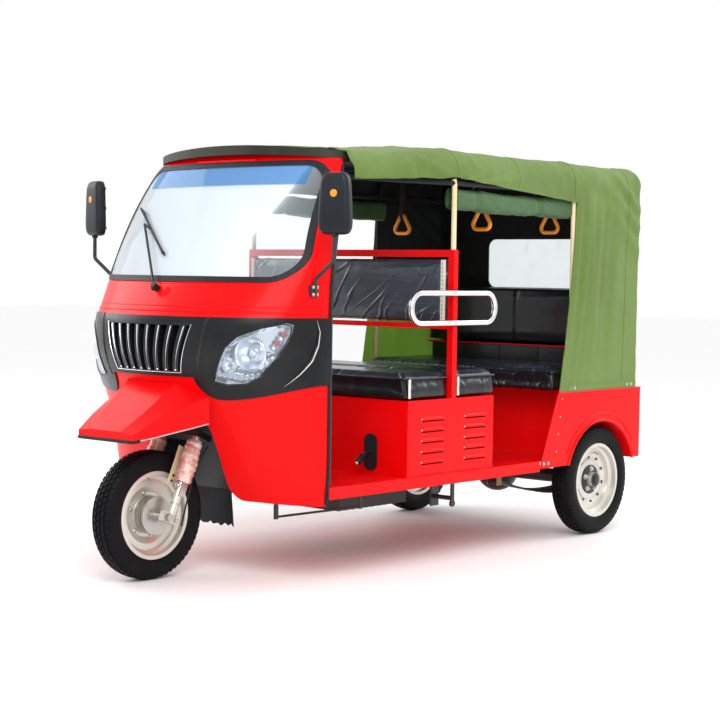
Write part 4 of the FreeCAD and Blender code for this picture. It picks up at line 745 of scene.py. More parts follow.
class CanopyGrid:
    # the cloth's points in rows from hem to hem over the top, one row for each station
    def __init__(self, spec):
        self.spec, self.points, self.faces, self.index = spec, [], [], {}
        self.front, self.rear = spec["stations"][0][0], spec["stations"][2][0]
        self.openCount = int((self.front - spec["coverTop"]) / spec["spacing"])
        coverCount = int((spec["coverTop"] - self.rear) / spec["spacing"]) + 1
        self.stations = along(self.front, spec["coverTop"], self.openCount)[:-1]
        self.stations += along(spec["coverTop"], self.rear, coverCount)[:-1]
        self.stations += [self.rear + spec["round"] * (1 - sin(radians(spec["roundTurn"] * k)))
                          for k in range(1, spec["roundSteps"] + 1)]
        self.last = len(self.stations) - 1
        self.arch = spec["shoulderSteps"] * 2 + spec["roofSteps"]
        for i, x in enumerate(self.stations):
            self.layStation(i, x)
        self.coverFaces = []
        for i in range(self.last):
            self.joinRows(i)
        self.closeBack()

    def keep(self, key, spot):
        self.index[key] = len(self.points)
        self.points.append(Vector(spot))

    def layStation(self, i, x):
        # the arch, the strip under each eave, and behind the door openings the covers down to the hem
        spec = self.spec
        r, strips, covers = spec["round"], spec["stripSteps"], spec["coverSteps"]
        left = max(0.0, r - (x - self.rear))
        ring = archPoints(x, spec["inset"] + r - sqrt(max(0.0, r * r - left * left)))
        for j, (y, z) in enumerate(ring):
            self.keep((i, j), (x, y, z))
        low = edgeHeight(x)
        for side, (y, z) in ((1, ring[0]), (-1, ring[-1])):
            wave = spec["ripple"] * wander(Vector((x * 11, side, 0))) if i < self.openCount else 0.0
            for k in range(1, strips + 1):
                self.keep((i, "strip", side, k), (x, y, z + (low + wave - z) * k / strips))
            if i < self.openCount:
                continue
            share = (x - spec["coverTop"]) / (self.rear - spec["coverTop"])
            for k in range(1, covers + 1):
                start = spec["coverTop"] + (spec["coverHem"] - spec["coverTop"]) * (k / covers) ** spec["coverCurve"]
                height = low + (spec["hem"] - low) * k / covers
                self.keep((i, "cover", side, k), (start + (self.rear - start) * share, y, height))

    def line(self, keys):
        return [self.index[key] for key in keys]

    def row(self, i):
        strips, covers = range(1, self.spec["stripSteps"] + 1), range(1, self.spec["coverSteps"] + 1)
        left = [(i, "strip", 1, k) for k in reversed(strips)]
        right = [(i, "strip", -1, k) for k in strips]
        if i >= self.openCount:
            left = [(i, "cover", 1, k) for k in reversed(covers)] + left
            right = right + [(i, "cover", -1, k) for k in covers]
        return self.line(left + [(i, j) for j in range(self.arch + 1)] + right)

    def pair(self, i):
        # a row and the next one, without its covers where they begin
        ahead, behind = self.row(i), self.row(i + 1)
        if len(ahead) != len(behind):
            behind = behind[self.spec["coverSteps"]:-self.spec["coverSteps"]]
        return ahead, behind

    def joinRows(self, i):
        covers = self.spec["coverSteps"]
        ahead, behind = self.pair(i)
        for a in range(len(ahead) - 1):
            if i >= self.openCount and not covers <= a < len(ahead) - 1 - covers:
                self.coverFaces.append(len(self.faces))
            self.faces.append([ahead[a], ahead[a + 1], behind[a + 1], behind[a]])

    def closeBack(self):
        # rings from the last row and the hem in to the window
        spec, window = self.spec, self.spec["window"]
        outer = self.row(self.last)
        first, final = self.points[outer[0]], self.points[outer[-1]]
        start = len(self.points)
        self.points += [final.lerp(first, b / spec["hemSteps"]) for b in range(1, spec["hemSteps"])]
        self.hemRow = list(range(start, len(self.points)))
        self.backStart = len(self.points)
        loop = outer + self.hemRow
        centre = Vector((0, (window["low"] + window["high"]) / 2))
        rays = [Vector((self.points[n].y, self.points[n].z)) - centre for n in loop]
        self.rings = [loop]
        for m in range(1, spec["backSteps"] + 1):
            self.rings.append(list(range(len(self.points), len(self.points) + len(loop))))
            for ray in rays:
                aim = ray.normalized()
                spot = centre + aim * (ray.length + (windowEdge(aim) - ray.length) * m / spec["backSteps"])
                self.points.append(Vector((self.rear + spec["inset"], spot.x, spot.y)))
        for a, b in zip(self.rings, self.rings[1:]):
            for n in range(len(loop)):
                m = (n + 1) % len(loop)
                self.faces.append([a[n], a[m], b[m], b[n]])


def keepClear(spot, start, onBack):
    # moves a pushed point off what it must not cross; start is where it lay before the push
    spec = clearSpec
    posts, lap, roof, corner = spec["posts"], spec["lap"], spec["roof"], spec["corner"]
    if abs(start.y) > posts["beyond"] and start.z < posts["below"] and start.x > posts["ahead"]:
        spot.y = copysign(max(posts["at"], abs(spot.y)), spot.y)
    spot.y = max(-spec["widest"], min(spec["widest"], spot.y))
    spot.z = min(spec["highest"], spot.z)
    spot.x = max(spec["rearmost"], spot.x)
    over = rising(start.x, lap["x"], 0.05) * rising(start.z, lap["z"], 0.035)
    spot.x += lap["length"] * over
    spot.z -= lap["drop"] * over * falling(abs(start.y), lap["dropHalf"], 0.1)
    if over > 0.4 and abs(start.y) < roof["half"]:
        spot.z = max(spot.z, roof["crown"] - roof["fall"] * min(abs(spot.y), roof["edge"]) ** 2)
    if onBack:
        spot.x = min(spec["backFront"], spot.x)
    radial = Vector((spot.x - corner["x"], abs(spot.y) - corner["y"]))
    near = spot.x < corner["behind"] and abs(spot.y) > corner["beyond"] and radial.length < corner["radius"]
    if near:
        radial *= corner["radius"] / max(radial.length, 0.001)
        spot.x, spot.y = corner["x"] + radial.x, copysign(corner["y"] + radial.y, spot.y)
    return spot


def makeCanopy(spec):
    grid = CanopyGrid(spec)
    mesh = bpy.data.meshes.new("canopyCloth")
    mesh.from_pydata([tuple(p) for p in grid.points], [], grid.faces)
    faceOutward(mesh)
    mesh.update()
    if mesh.vertices[grid.index[(5, grid.arch // 2)]].normal.z < 0:
        mesh.flip_normals()
        mesh.update()
    moved = []
    for n, v in enumerate(mesh.vertices):
        hold = rising(v.co.z, spec["hem"], 0.05)
        if v.co.x > 0.5:
            hold *= 0.25 + 0.75 * falling(v.co.x, 0.61, 0.1)
        spot = v.co + v.normal * (clothPush(v.co, v.normal) * hold)
        moved.append(keepClear(spot, v.co, n >= grid.backStart))
    mesh.vertices.foreach_set("co", [c for p in moved for c in p])
    mesh.update()
    # canvas outside, lining inside, the covers' outside, and the covers' inside with its painted glow
    for one in ("greenCanvas", "blackLining", "greenCanvas", "litCanvas"):
        mesh.materials.append(materials[one])
    for face in grid.coverFaces:
        mesh.polygons[face].material_index = 2
    mesh.shade_smooth()
    piece = addObject("canopyCloth", mesh)
    addModifier(piece, "thickness", "SOLIDIFY", thickness=spec["thick"], offset=-1, material_offset=1,
                material_offset_rim=0)
    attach(piece, "body")
    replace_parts(piece, "canopy")
    grid.points = moved
    grid.normals = [v.normal.copy() for v in mesh.vertices]
    return piece, grid


canopyCloth, canopyGrid = makeCanopy(canopySpec)


def makeSeams(xs):
    # doubled seams over the bows, hems along every free edge and round the window
    grid = canopyGrid
    points, normals = grid.points, grid.normals
    shape = Shape()
    foot = 0.0004

    def band(first, second, lift=0.0016):
        rows = []
        for a, b in zip(first, second):
            pa, pb = points[a] + normals[a] * lift, points[b] + normals[b] * lift
            mid = (pa + pb) / 2 + (normals[a] + normals[b]) * foot
            rows.append([points[a] - normals[a] * foot, pa, mid, pb, points[b] - normals[b] * foot])
        shape.grid(rows)

    for x in xs:
        band(*grid.pair(min(range(grid.last), key=lambda n: abs(grid.stations[n] - x))))
    shoulder = canopySpec["shoulderSteps"]
    for j in (shoulder, grid.arch - shoulder):
        band(*[grid.line((i, k) for i in range(grid.last + 1)) for k in (j, j + 1)], 0.0014)
    strips, covers, start = canopySpec["stripSteps"], canopySpec["coverSteps"], grid.openCount
    for side in (1, -1):
        band(*[grid.line((i, "strip", side, k) for i in range(start + 1)) for k in (strips, strips - 2)])
        band(*[grid.line((i, "cover", side, k) for k in range(1, covers + 1)) for i in (start, start + 1)])
        band(*[grid.line((i, "cover", side, k) for i in range(start, grid.last + 1)) for k in (covers, covers - 2)])
    band(*[grid.line((i, j) for j in range(grid.arch + 1)) for i in (0, 2)])
    band(*[grid.rings[k] + grid.rings[k][:1] for k in (-1, -3)])
    return shape.make("canopySeams", "green_canvas")


canopySeams = makeSeams([0.02525, -0.42, -0.862, -1.3])

eyeletSpec = {"size": 0.0078, "height": 0.7065, "sides": [-0.848, -0.89, -1.33, -1.372],
              "back": [-0.54, -0.5, -0.27, -0.23, 0.23, 0.27, 0.5, 0.54]}


def makeEyelets(spec):
    shape = Shape()
    points, normals, size = canopyGrid.points, canopyGrid.normals, spec["size"]
    targets = [Vector((x, side * 0.61, spec["height"])) for x in spec["sides"] for side in (1, -1)]
    targets += [Vector((-1.42, y, spec["height"])) for y in spec["back"]]
    ring = [(size, -0.0005), (size, 0.0018), (size * 0.8, 0.003), (size * 0.52, 0.0026), (size * 0.42, 0.0012),
            (0, 0.0014)]
    for target in targets:
        n = min(range(len(points)), key=lambda k: (points[k] - target).length_squared)
        shape.lathe(points[n], normals[n], ring, 16)
    return shape.make("canopyEyelets", "green_canvas", 40, look="creamTape")


canopyEyelets = makeEyelets(eyeletSpec)

sleeveSpec = {
    "bows": [0.02525, -0.86775, -1.40345], "bowRadius": 0.0116,
    "y": 0.5947, "top": 1.728, "bend": 0.13, "start": 1.628,
    "rails": [((0.6105, 0.492, 1.612), (0.02525, 0.5947, 1.612)),
              ((0.02525, 0.5947, 1.612), (-1.40345, 0.5947, 1.612)),
              ((0.02525, 0.45, 1.728), (-1.40345, 0.45, 1.728))],
    "railRadius": 0.0097, "posts": [(-0.86775, -1), (-1.40345, -1), (-1.40345, 1)], "postLow": 1.205}


def makeSleeves(spec):
    # the black lining is sewn round the rails and the tops of the bows
    shape = Shape()
    y, top, bend = spec["y"], spec["top"], spec["bend"]
    first = asin((spec["start"] - top + bend) / bend)

    def bent(x, side, angles):
        return [(x, side * (y - bend + bend * cos(a)), top - bend + bend * sin(a)) for a in angles]

    for x in spec["bows"]:
        angles = along(first, pi / 2, 12)
        shape.tube(bent(x, 1, angles) + bent(x, -1, angles[::-1]), spec["bowRadius"], 24)
    for start, end in spec["rails"]:
        for side in (1, -1):
            shape.tube([(a, side * b, c) for a, b, c in (start, end)], spec["railRadius"], 24)
    for x, side in spec["posts"]:
        shape.tube([(x, side * y, spec["postLow"]), (x, side * y, top - bend)], spec["bowRadius"], 24)
        shape.tube(bent(x, side, (0, first / 2, first)), spec["bowRadius"], 24)
    return shape.make("railSleeves", "black_webbing", 40, look="blackLining")


makeSleeves(sleeveSpec)
print("canopy ready")


# rolled side curtains

curtainSpec = {
    "front": (place(1.198), 1.548), "rear": (place(2.0615), 1.538), "y": 0.5655, "outer": 0.0375, "tall": 1.42,
    "turns": 3.3, "pitch": 0.0055, "across": 150, "along": 84, "ties": (0.175, 0.7), "length": 0.864, "thick": 0.0012,
    "start": 2.2, "pinch": 0.17, "sag": 0.006, "squareness": 3.2, "band": 0.009, "bandRise": 0.0032}


def curtainPoint(spec, share, around, side):
    # spiral section, slack between the ties and drawn in at each of them
    (x, z), (endX, endZ) = spec["front"], spec["rear"]
    first, last = spec["ties"]
    angle = around * spec["turns"] * 2 * pi + spec["start"]
    c, s = cos(angle), sin(angle)
    r = spec["outer"] - spec["pitch"] * around * spec["turns"]
    r *= 1 - spec["pinch"] * sum(bell(share, tie, 0.022) for tie in spec["ties"])
    fold = 0.1 * wander(Vector((share * 7, c * 1.3, s * 1.3)), 3.0 + side)
    fold += 0.06 * wander(Vector((share * 21, c * 2.5, s * 2.5)), 5.0 + side)
    power = spec["squareness"]
    r *= (1 + fold - 0.06) * (abs(c) ** power + abs(s) ** power) ** (-1 / power) * 0.97
    sag = spec["sag"] * sin(pi * min(1.0, max(0.0, (share - first) / (last - first))))
    return Vector((x + (endX - x) * share, side * (spec["y"] + r * 0.95 * c),
                   z + (endZ - z) * share - sag + r * spec["tall"] * s))


def makeTies(spec, side, name):
    # a flat band round the roll, and its end up to the rail
    ties = Shape()
    wide, rise = spec["band"], spec["bandRise"]
    for tie in spec["ties"]:
        loop = [curtainPoint(spec, tie, j / 40 / spec["turns"], side) for j in range(40)]
        middle = sum(loop, Vector()) / len(loop)
        edges = ((-wide, 0.0012), (0.001 - wide, rise), (wide - 0.001, rise), (wide, 0.0012))
        ties.grid([[p + (p - middle).normalized() * lift + Vector((shift, 0, 0)) for p in loop]
                   for shift, lift in edges], around=True)
        top = middle + Vector((0, 0, 0.046))
        end = [Vector((0, 0, 0)), Vector((0.003, side * 0.008, 0.02)), Vector((-0.002, side * 0.016, 0.05))]
        ties.tube([top + shift for shift in end], 0.0028, 8)
    return ties.make(name, "green_curtain", 50)


def makeCurtains(spec):
    for side, name in ((1, "leftCurtain"), (-1, "rightCurtain")):
        rows = [[curtainPoint(spec, share, around, side) for around in along(0, 1, spec["across"])]
                for share in along(0, 1, spec["along"])]
        shape = Shape()
        shape.grid(rows)
        piece = shape.make(name, "green_curtain")
        addModifier(piece, "thickness", "SOLIDIFY", thickness=spec["thick"], offset=0)
        tied = makeTies(spec, side, name + "Ties")
        if side > 0:
            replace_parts(piece, "side_curtain_rolls")


makeCurtains(curtainSpec)
print("curtains ready")


# padded pieces

def cushionShell(spec):
    # softened box, a little under the size of its CAD solid
    low, high = Vector(spec["low"]), Vector(spec["high"])
    shrink = spec["shrink"]
    shape = bmesh.new()
    bmesh.ops.create_cube(shape, size=1)
    bmesh.ops.scale(shape, vec=high - low - Vector((shrink, shrink, shrink)) * 2, verts=shape.verts)
    bmesh.ops.bevel(shape, geom=shape.edges[:], offset=spec["corner"], segments=4, profile=0.6, affect="EDGES")
    bmesh.ops.translate(shape, vec=(low + high) / 2, verts=shape.verts)
    mesh = bpy.data.meshes.new(spec["name"])
    shape.to_mesh(mesh)
    shape.free()
    piece = addObject(spec["name"], mesh)
    addModifier(piece, "voxels", "REMESH", mode="VOXEL", voxel_size=spec["voxel"])
    bakeModifiers(piece)
    return piece


def bakeModifiers(piece):
    graph = bpy.context.evaluated_depsgraph_get()
    graph.update()
    made = bpy.data.meshes.new_from_object(piece.evaluated_get(graph))
    piece.modifiers.clear()
    old = piece.data
    piece.data = made
    made.name = piece.name
    bpy.data.meshes.remove(old)


# pressure cloth for the pads: Blender's own settings, and how many frames it runs
clothSettings = {"quality": 4, "use_pressure": True, "uniform_pressure_force": 4.0, "vertex_group_mass": "held",
                 "tension_stiffness": 12, "compression_stiffness": 6, "bending_stiffness": 0.6}
clothFrames = 20


def inflate(piece, spec):
    # short cloth run under inner pressure; the face that rests on something is held
    rest = [v.co.copy() for v in piece.data.vertices]
    low = Vector(spec["low"])
    held = piece.vertex_groups.new(name="held")
    held.add([v.index for v in piece.data.vertices if spec["flatSide"](v.co, low)], 1.0, "REPLACE")
    cloth = addModifier(piece, "cloth", "CLOTH")
    for key, value in clothSettings.items():
        setattr(cloth.settings, key, value)
    cloth.settings.effector_weights.gravity = 0
    cloth.collision_settings.use_collision = False
    cloth.collision_settings.use_self_collision = False
    cloth.point_cache.frame_start = 1
    cloth.point_cache.frame_end = clothFrames
    for step in range(1, clothFrames + 1):
        scene.frame_set(step)
    evaluated = piece.evaluated_get(bpy.context.evaluated_depsgraph_get())
    blown = [v.co.copy() for v in evaluated.data.vertices]
    piece.modifiers.clear()
    scene.frame_set(1)
    for v, old, new in zip(piece.data.vertices, rest, blown):
        step = new - old
        if step.length > spec["cap"]:
            step *= spec["cap"] / step.length
        v.co = old + step


def nearSeam(value, places, width):
    return max([bell(value, p, width) for p in places] + [0.0])


def makeCushion(spec):
    piece = cushionShell(spec)
    inflate(piece, spec)
    addModifier(piece, "smoother", "SUBSURF", levels=1, render_levels=1)
    bakeModifiers(piece)
    mesh = piece.data
    normals = [v.normal.copy() for v in mesh.vertices]
    for v, normal in zip(mesh.vertices, normals):
        groove = spec["channel"] * nearSeam(v.co.y, spec["channels"], 0.01)
        face = rising(abs(normal[spec["thin"]]), 0.4, 0.3)
        co = v.co + normal * (spec["wrinkle"](v.co) - groove * face)
        v.co = [min(high + over, max(low - over, value))
                for value, low, high, over in zip(co, spec["low"], spec["high"], spec["over"])]
    mesh.materials.clear()
    mesh.materials.append(materials[spec.get("finish", "blackVinyl")])
    mesh.shade_smooth()
    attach(piece, "body")
    return piece


def flatBelow(co, low):
    return co.z < low.z + 0.022


def flatBehind(co, low):
    return co.x < low.x + 0.014


def seatWrinkle(co):
    # taut cover with a few soft slack folds
    crease = 0.0007 * wander(Vector((co.x * 16, co.y * 8, co.z * 16)), 1.0)
    fold = abs(wander(Vector((co.x * 7 + co.y * 4, co.y * 4 - co.x * 2, co.z * 4)), 3.0))
    return crease + 0.0011 * falling(fold, 0.2, 0.2)


def rearSeatWrinkle(co):
    # the same cover, crinkled along its front edge
    front = rising(co.x, place(2.06), 0.06)
    fold = abs(wander(Vector((co.x * 12, co.y * 17 + co.z * 9, co.z * 14)), 6.0))
    return seatWrinkle(co) + 0.003 * front * falling(fold, 0.13, 0.13)


def padWrinkle(co):
    # thin slanting creases of the clear wrap, gathered in patches
    slant = co.y * 0.75 + co.z * 0.66
    other = co.z * 0.75 - co.y * 0.66
    crease = abs(wander(Vector((slant * 4.0, other * 19.0, co.x * 5)), 5.0))
    patch = rising(wander(Vector((co.y * 4.0, co.z * 5.0, 0)), 8.0), -0.25, 0.35)
    return 0.0038 * patch * falling(crease, 0.1, 0.1) + 0.0006 * wander(co * 14, 2.0)


def smoothPad(co):
    return 0.0009 * wander(co * 7, 2.0)


driverLow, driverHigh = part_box("driver_cushions")
splitFront, splitRear = place(1.18) + 0.0153, place(1.18) - 0.0153


def seatSpec(name, node, box, wrinkle, **more):
    return {"name": name, "node": node, "low": box[0][:], "high": box[1][:], "wrinkle": wrinkle,
            "shrink": 0.005, "channel": 0.0025, "fill": 0.7, **more}


seat = {"flatSide": flatBelow, "thin": 2, "corner": 0.02, "cap": 0.011}
driverSeat = {"channels": [-0.2, 0.2], "voxel": 0.01, "over": (0.0, 0.004, 0.004), **seat}
backrest = {"flatSide": flatBehind, "thin": 0, "corner": 0.012, "cap": 0.008}
driverBox = ((splitFront, driverLow.y, driverLow.z), driverHigh)
middleBox = (driverLow, (splitRear, driverHigh.y, driverHigh.z))
seatSpecs = [
    seatSpec("driverSeatPad", "driver_cushions", driverBox, seatWrinkle, **driverSeat),
    seatSpec("middleSeatPad", None, middleBox, seatWrinkle, **driverSeat),
    seatSpec("rearSeatPad", "rear_cushion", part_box("rear_cushion"), rearSeatWrinkle,
             channels=[0.0], voxel=0.011, over=(0.004, 0.004, 0.006), **seat),
    seatSpec("rearBackPad", "rear_backrest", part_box("rear_backrest"), smoothPad,
             channels=[0.0], voxel=0.009, over=(0.006, 0.004, 0.004), **backrest),
    seatSpec("driverBackPad", "backrest_pad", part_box("backrest_pad"), padWrinkle,
             channels=[], voxel=0.008, over=(0.006, 0.0, 0.0), finish="wrappedVinyl", **backrest)]

for spec in seatSpecs:
    cushion = makeCushion(spec)
    if spec["node"]:
        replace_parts(cushion, spec["node"])
    print("padded:", spec["name"], len(cushion.data.polygons))


# wheels

# profile and tread: distance from the axle and across; rows of lugs: place across, width, shift along
tyreSpec = {
    "profile": [(0.1668, 0.033), (0.1725, 0.039), (0.179, 0.0455), (0.1938, 0.0504), (0.208, 0.0515),
                (0.2092, 0.0508), (0.2104, 0.0518), (0.2229, 0.052), (0.23, 0.051), (0.237, 0.0495),
                (0.241, 0.0478), (0.244, 0.0445), (0.2484, 0.0374), (0.2523, 0.0156), (0.2524, 0.0)],
    "tread": [(0.0, 0.2575), (0.0156, 0.2574), (0.0374, 0.2537), (0.0484, 0.2446), (0.052, 0.23)],
    "rows": [(-0.043, 0.013, 0.5), (-0.0215, 0.017, 0.0), (0.0, 0.015, 0.5), (0.0215, 0.017, 0.0),
             (0.043, 0.013, 0.5)],
    "lugSides": [(-1, -1), (-0.3, -1), (0.3, -1), (1, -1), (1, 1), (0.3, 1), (-0.3, 1), (-1, 1)],
    "lugTop": [(0, 1, 6, 7), (1, 2, 5, 6), (2, 3, 4, 5)],
    "count": 60, "fill": 0.8, "depth": 0.0052, "ribs": 72, "ribLow": (0.231, 0.0508), "ribHigh": (0.242, 0.0476)}


def treadRadius(y):
    # outer surface of the tread across the tyre
    rows = tyreSpec["tread"]
    y = abs(y)
    for (a, ra), (b, rb) in zip(rows, rows[1:]):
        if y <= b:
            return ra + (rb - ra) * (y - a) / (b - a)
    return rows[-1][1]


def addLug(shape, spec, centre, y, width, start):
    # one block of the tread, slanted, with a softened top
    step = 2 * pi / spec["count"]
    slant = 0.2 * step if abs(y) < 0.01 else copysign(0.12 * step, y)
    rows = []
    for depth, grow in ((-spec["depth"] - 0.002, 0.0), (-0.001, -0.0003), (0.0, -0.0012)):
        row = []
        for turn, offset in spec["lugSides"]:
            a = start + turn * step * spec["fill"] / 2 * (1 + grow / 0.011) + slant * offset
            at = y + offset * (width / 2 + grow)
            r = treadRadius(at) + depth
            row.append(centre + Vector((r * cos(a), at, r * sin(a))))
        rows.append(row)
    top = len(shape.points) + 2 * len(spec["lugSides"])
    shape.grid(rows, around=True)
    shape.faces += [[top + k for k in face] for face in spec["lugTop"]]


def makeTyre(name, centre, body, node, spec):
    shape = Shape()
    centre = Vector(centre)
    half = spec["profile"]
    shape.lathe(centre, (0, 1, 0), half + [(r, -a) for r, a in reversed(half[:-1])], 144)
    for y, width, shift in spec["rows"]:
        for i in range(spec["count"]):
            addLug(shape, spec, centre, y, width, (i + shift) * 2 * pi / spec["count"])
    for side in (1, -1):
        for a in circle(spec["ribs"]):
            out = Vector((cos(a), 0, sin(a)))
            ends = [centre + out * r + Vector((0, side * y, 0)) for r, y in (spec["ribLow"], spec["ribHigh"])]
            shape.tube(ends, 0.0013, 5)
    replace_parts(shape.make(name, "tyre", 32, body), node)


wheelY = 0.546
wheelSpecs = [("frontTreadTyre", (frontX, 0, tyreRadius), "front_wheel", "front_tyre"),
              ("rearLeftTreadTyre", (rearX, wheelY, tyreRadius), "rear_left_wheel", "rear_left_tyre"),
              ("rearRightTreadTyre", (rearX, -wheelY, tyreRadius), "rear_right_wheel", "rear_right_tyre")]
for name, centre, body, node in wheelSpecs:
    makeTyre(name, centre, body, node, tyreSpec)
print("tyres ready")

hubSpec = {
    "studRing": 0.088, "stud": 0.0075, "nutRing": 0.051, "nut": 0.0098, "holeRing": 0.108,
    "drumRibs": (0.006, 0.016, 0.026, 0.036), "frontValve": ((0.02, 0.012, 0.15), (0.018, 0.035, 0.138)),
    "rearValve": ((-0.03, 0.004, 0.128), (-0.027, 0.034, 0.118)),
    "rib": [(0.0715, -0.003), (0.076, -0.0022), (0.0765, 0), (0.076, 0.0022), (0.0715, 0.003)],
    "cap": [(0.034, -0.001), (0.033, 0.006), (0.026, 0.012), (0.014, 0.014), (0, 0.014)],
    "hole": [(0.0085, 0), (0.008, 0.0012), (0, 0.0012)],
    "cover": [(0.07, 0.0005), (0.069, 0.006), (0.064, 0.0088), (0.035, 0.0092), (0.0345, 0.005)],
    "bearing": [(0.034, -0.002), (0.033, 0.003), (0.027, 0.005), (0.021, 0.005), (0.02, 0.011), (0.016, 0.013),
                (0, 0.0135)]}


def onDisc(centre, ring, turn, out=0.0):
    # point on a wheel's disc at a distance and a turn, and so far along the axle
    return centre + Vector((ring * cos(turn), out, ring * sin(turn)))


def makeFrontHub(spec):
    # ribbed drum ring, studs round the disc, cap and valve
    shape = Shape()
    centre = Vector((frontX, 0, tyreRadius))
    for y in spec["drumRibs"]:
        shape.lathe(centre, (0, 1, 0), [(r, y + a) for r, a in spec["rib"]], 64)
    for a in circle(6, 0.3):
        shape.bolt(onDisc(centre, spec["studRing"], a, -0.0065), (0, 1, 0), spec["stud"])
        shape.bolt(onDisc(centre, spec["studRing"], a, -0.0115), (0, -1, 0), spec["stud"])
    shape.lathe(centre + Vector((0, -0.041, 0)), (0, -1, 0), spec["cap"], 40)
    shape.tube([centre + Vector(end) for end in spec["frontValve"]], 0.0038, 12)
    shape.make("frontHubTrim", "bare_steel", 30, "front_wheel")


def makeRearHub(side, body, name, spec):
    # wheel nuts on their studs, holes round the disc, valve, drum cover and bearing cap
    shape, dark = Shape(), Shape()
    centre = Vector((rearX, side * wheelY, tyreRadius))
    out = Vector((0, side, 0))
    for a in circle(5, radians(18)):
        at = onDisc(centre, spec["nutRing"], a)
        shape.bolt(at + out * 0.0085, out, spec["nut"])
        shape.tube([at + out * 0.014, at + out * 0.0235], 0.0042, 10)
    for a in circle(10, 0.2):
        dark.lathe(onDisc(centre, spec["holeRing"], a, side * 0.003), out, spec["hole"], 18)
    shape.tube([centre + Vector((x, side * y, z)) for x, y, z in spec["rearValve"]], 0.0036, 12)
    dark.lathe(centre, out, spec["cover"], 48)
    dark.lathe(centre + out * 0.034, out, spec["bearing"], 36)
    shape.make(name + "Nuts", "bare_steel", 30, body)
    dark.make(name + "Cap", "black_frame", 30, body)


makeFrontHub(hubSpec)
makeRearHub(1, "rear_left_wheel", "rearLeftHub", hubSpec)
makeRearHub(-1, "rear_right_wheel", "rearRightHub", hubSpec)


# fork: everything is placed along the raked steering axis

forkRake = radians(24)
forkTrail = 0.055
forkUp = Vector((-sin(forkRake), 0, cos(forkRake)))
forkAhead = Vector((cos(forkRake), 0, sin(forkRake)))
forkFoot = Vector((frontX - forkTrail * cos(forkRake), 0, tyreRadius - forkTrail * sin(forkRake)))


def onFork(ahead, y, up):
    return forkFoot + forkAhead * ahead + forkUp * up + Vector((0, y, 0))


bootSpec = {"low": 0.1535, "high": 0.331, "radius": 0.0385, "ahead": 0.03, "y": 0.105, "count": 46, "around": 44,
            "coil": 0.024}


def bootRadius(spec, share, height, a, side):
    # swollen middle, crumpled film and the spring's coils pressed through it
    spot = Vector((cos(a) * 2.2, sin(a) * 2.2, height * 42))
    swell = 0.86 + 0.14 * sin(pi * min(1, share * 1.3)) - 0.16 * rising(share, 0.93, 0.07)
    crumple = 0.055 * wander(spot, side * 3.0) - 0.09 * abs(wander(spot * 1.9, side * 5.0 + 1))
    coil = 0.035 * sin(height * 2 * pi / spec["coil"] + a)
    return spec["radius"] * (swell + crumple + coil)


def makeBoots(spec):
    shape = Shape()
    for side in (1, -1):
        rows = []
        for share in along(0, 1, spec["count"]):
            height = spec["low"] + (spec["high"] - spec["low"]) * share
            middle = onFork(spec["ahead"], side * spec["y"], height)
            row = []
            for a in circle(spec["around"]):
                r = bootRadius(spec, share, height, a, side)
                row.append(middle + forkAhead * (r * cos(a)) + Vector((0, r * sin(a), 0)))
            rows.append(row)
        shape.grid(rows, around=True, caps=True)
    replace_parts(shape.make("forkWraps", "boot_rubber", 50, "steering"), "fork_boots")


makeBoots(bootSpec)


# collars hold low, high and radius on the leg; places on the fork are ahead of its axis and up along it
forkSpec = {
    "ahead": 0.03, "y": 0.105, "leg": 0.0185,
    "collars": ((0.118, 0.152, 0.0225), (0.06, 0.066, 0.0205), (0.01, 0.018, 0.021)),
    "lug": (0.058, 0.135), "lugHalf": (0.01, 0.008, 0.012), "lugBolt": 0.052, "plateUp": 0.128,
    "plateHalf": (0.015, 0.004, 0.032), "stay": (0.052, 0.064, 0.215), "stayHalf": (0.017, 0.002, 0.08),
    "stayHoles": (0.15, 0.172), "hole": [(0.0058, -0.001), (0.0058, 0.0006), (0, 0.0004)],
    "hose": [(-0.02, 0.128, 0.325), (0.0, 0.131, 0.26), (0.004, 0.131, 0.17), (-0.004, 0.13, 0.09),
             (-0.022, 0.118, 0.03), (-0.045, 0.1, -0.012)]}


def makeForkTrim(spec):
    # clamp collars under the wraps, cotter bolts and stays beside the tyre, on both legs
    shape, stay, holes = Shape(), Shape(), Shape()
    raked = Matrix.Rotation(-forkRake, 3, "Y")
    ahead, leg = spec["ahead"], spec["leg"]
    for side in (1, -1):
        y, out = side * spec["y"], (0, side, 0)
        lugAhead, lugUp = spec["lug"]
        for low, high, r in spec["collars"]:
            ring = [(leg, 0), (r, 0.001), (r, high - low - 0.001), (leg, high - low)]
            shape.lathe(onFork(ahead, y, low), forkUp, ring, 32)
        shape.blockAt(onFork(lugAhead, y, lugUp), spec["lugHalf"])
        shape.bolt(onFork(spec["lugBolt"], y + side * 0.01, lugUp), out, 0.0065)
        shape.blockAt(onFork(ahead, y + side * 0.0205, spec["plateUp"]), spec["plateHalf"], 0.002, raked)
        stayAhead, stayY, stayUp = spec["stay"]
        stay.blockAt(onFork(stayAhead, side * stayY, stayUp), spec["stayHalf"], 0.0015, raked)
        for up in spec["stayHoles"]:
            holes.lathe(onFork(stayAhead - 0.002, side * (stayY + 0.002), up), out, spec["hole"], 18)
        shape.bolt(onFork(0.012, y + side * 0.0185, 0.0), out, 0.0055)
    shape.make("forkTrim", "bare_steel", 30, "steering")
    stay.make("forkStays", "bare_steel", 30, "steering", "creamTube")
    holes.make("forkStayHoles", "black_frame", 30, "steering")


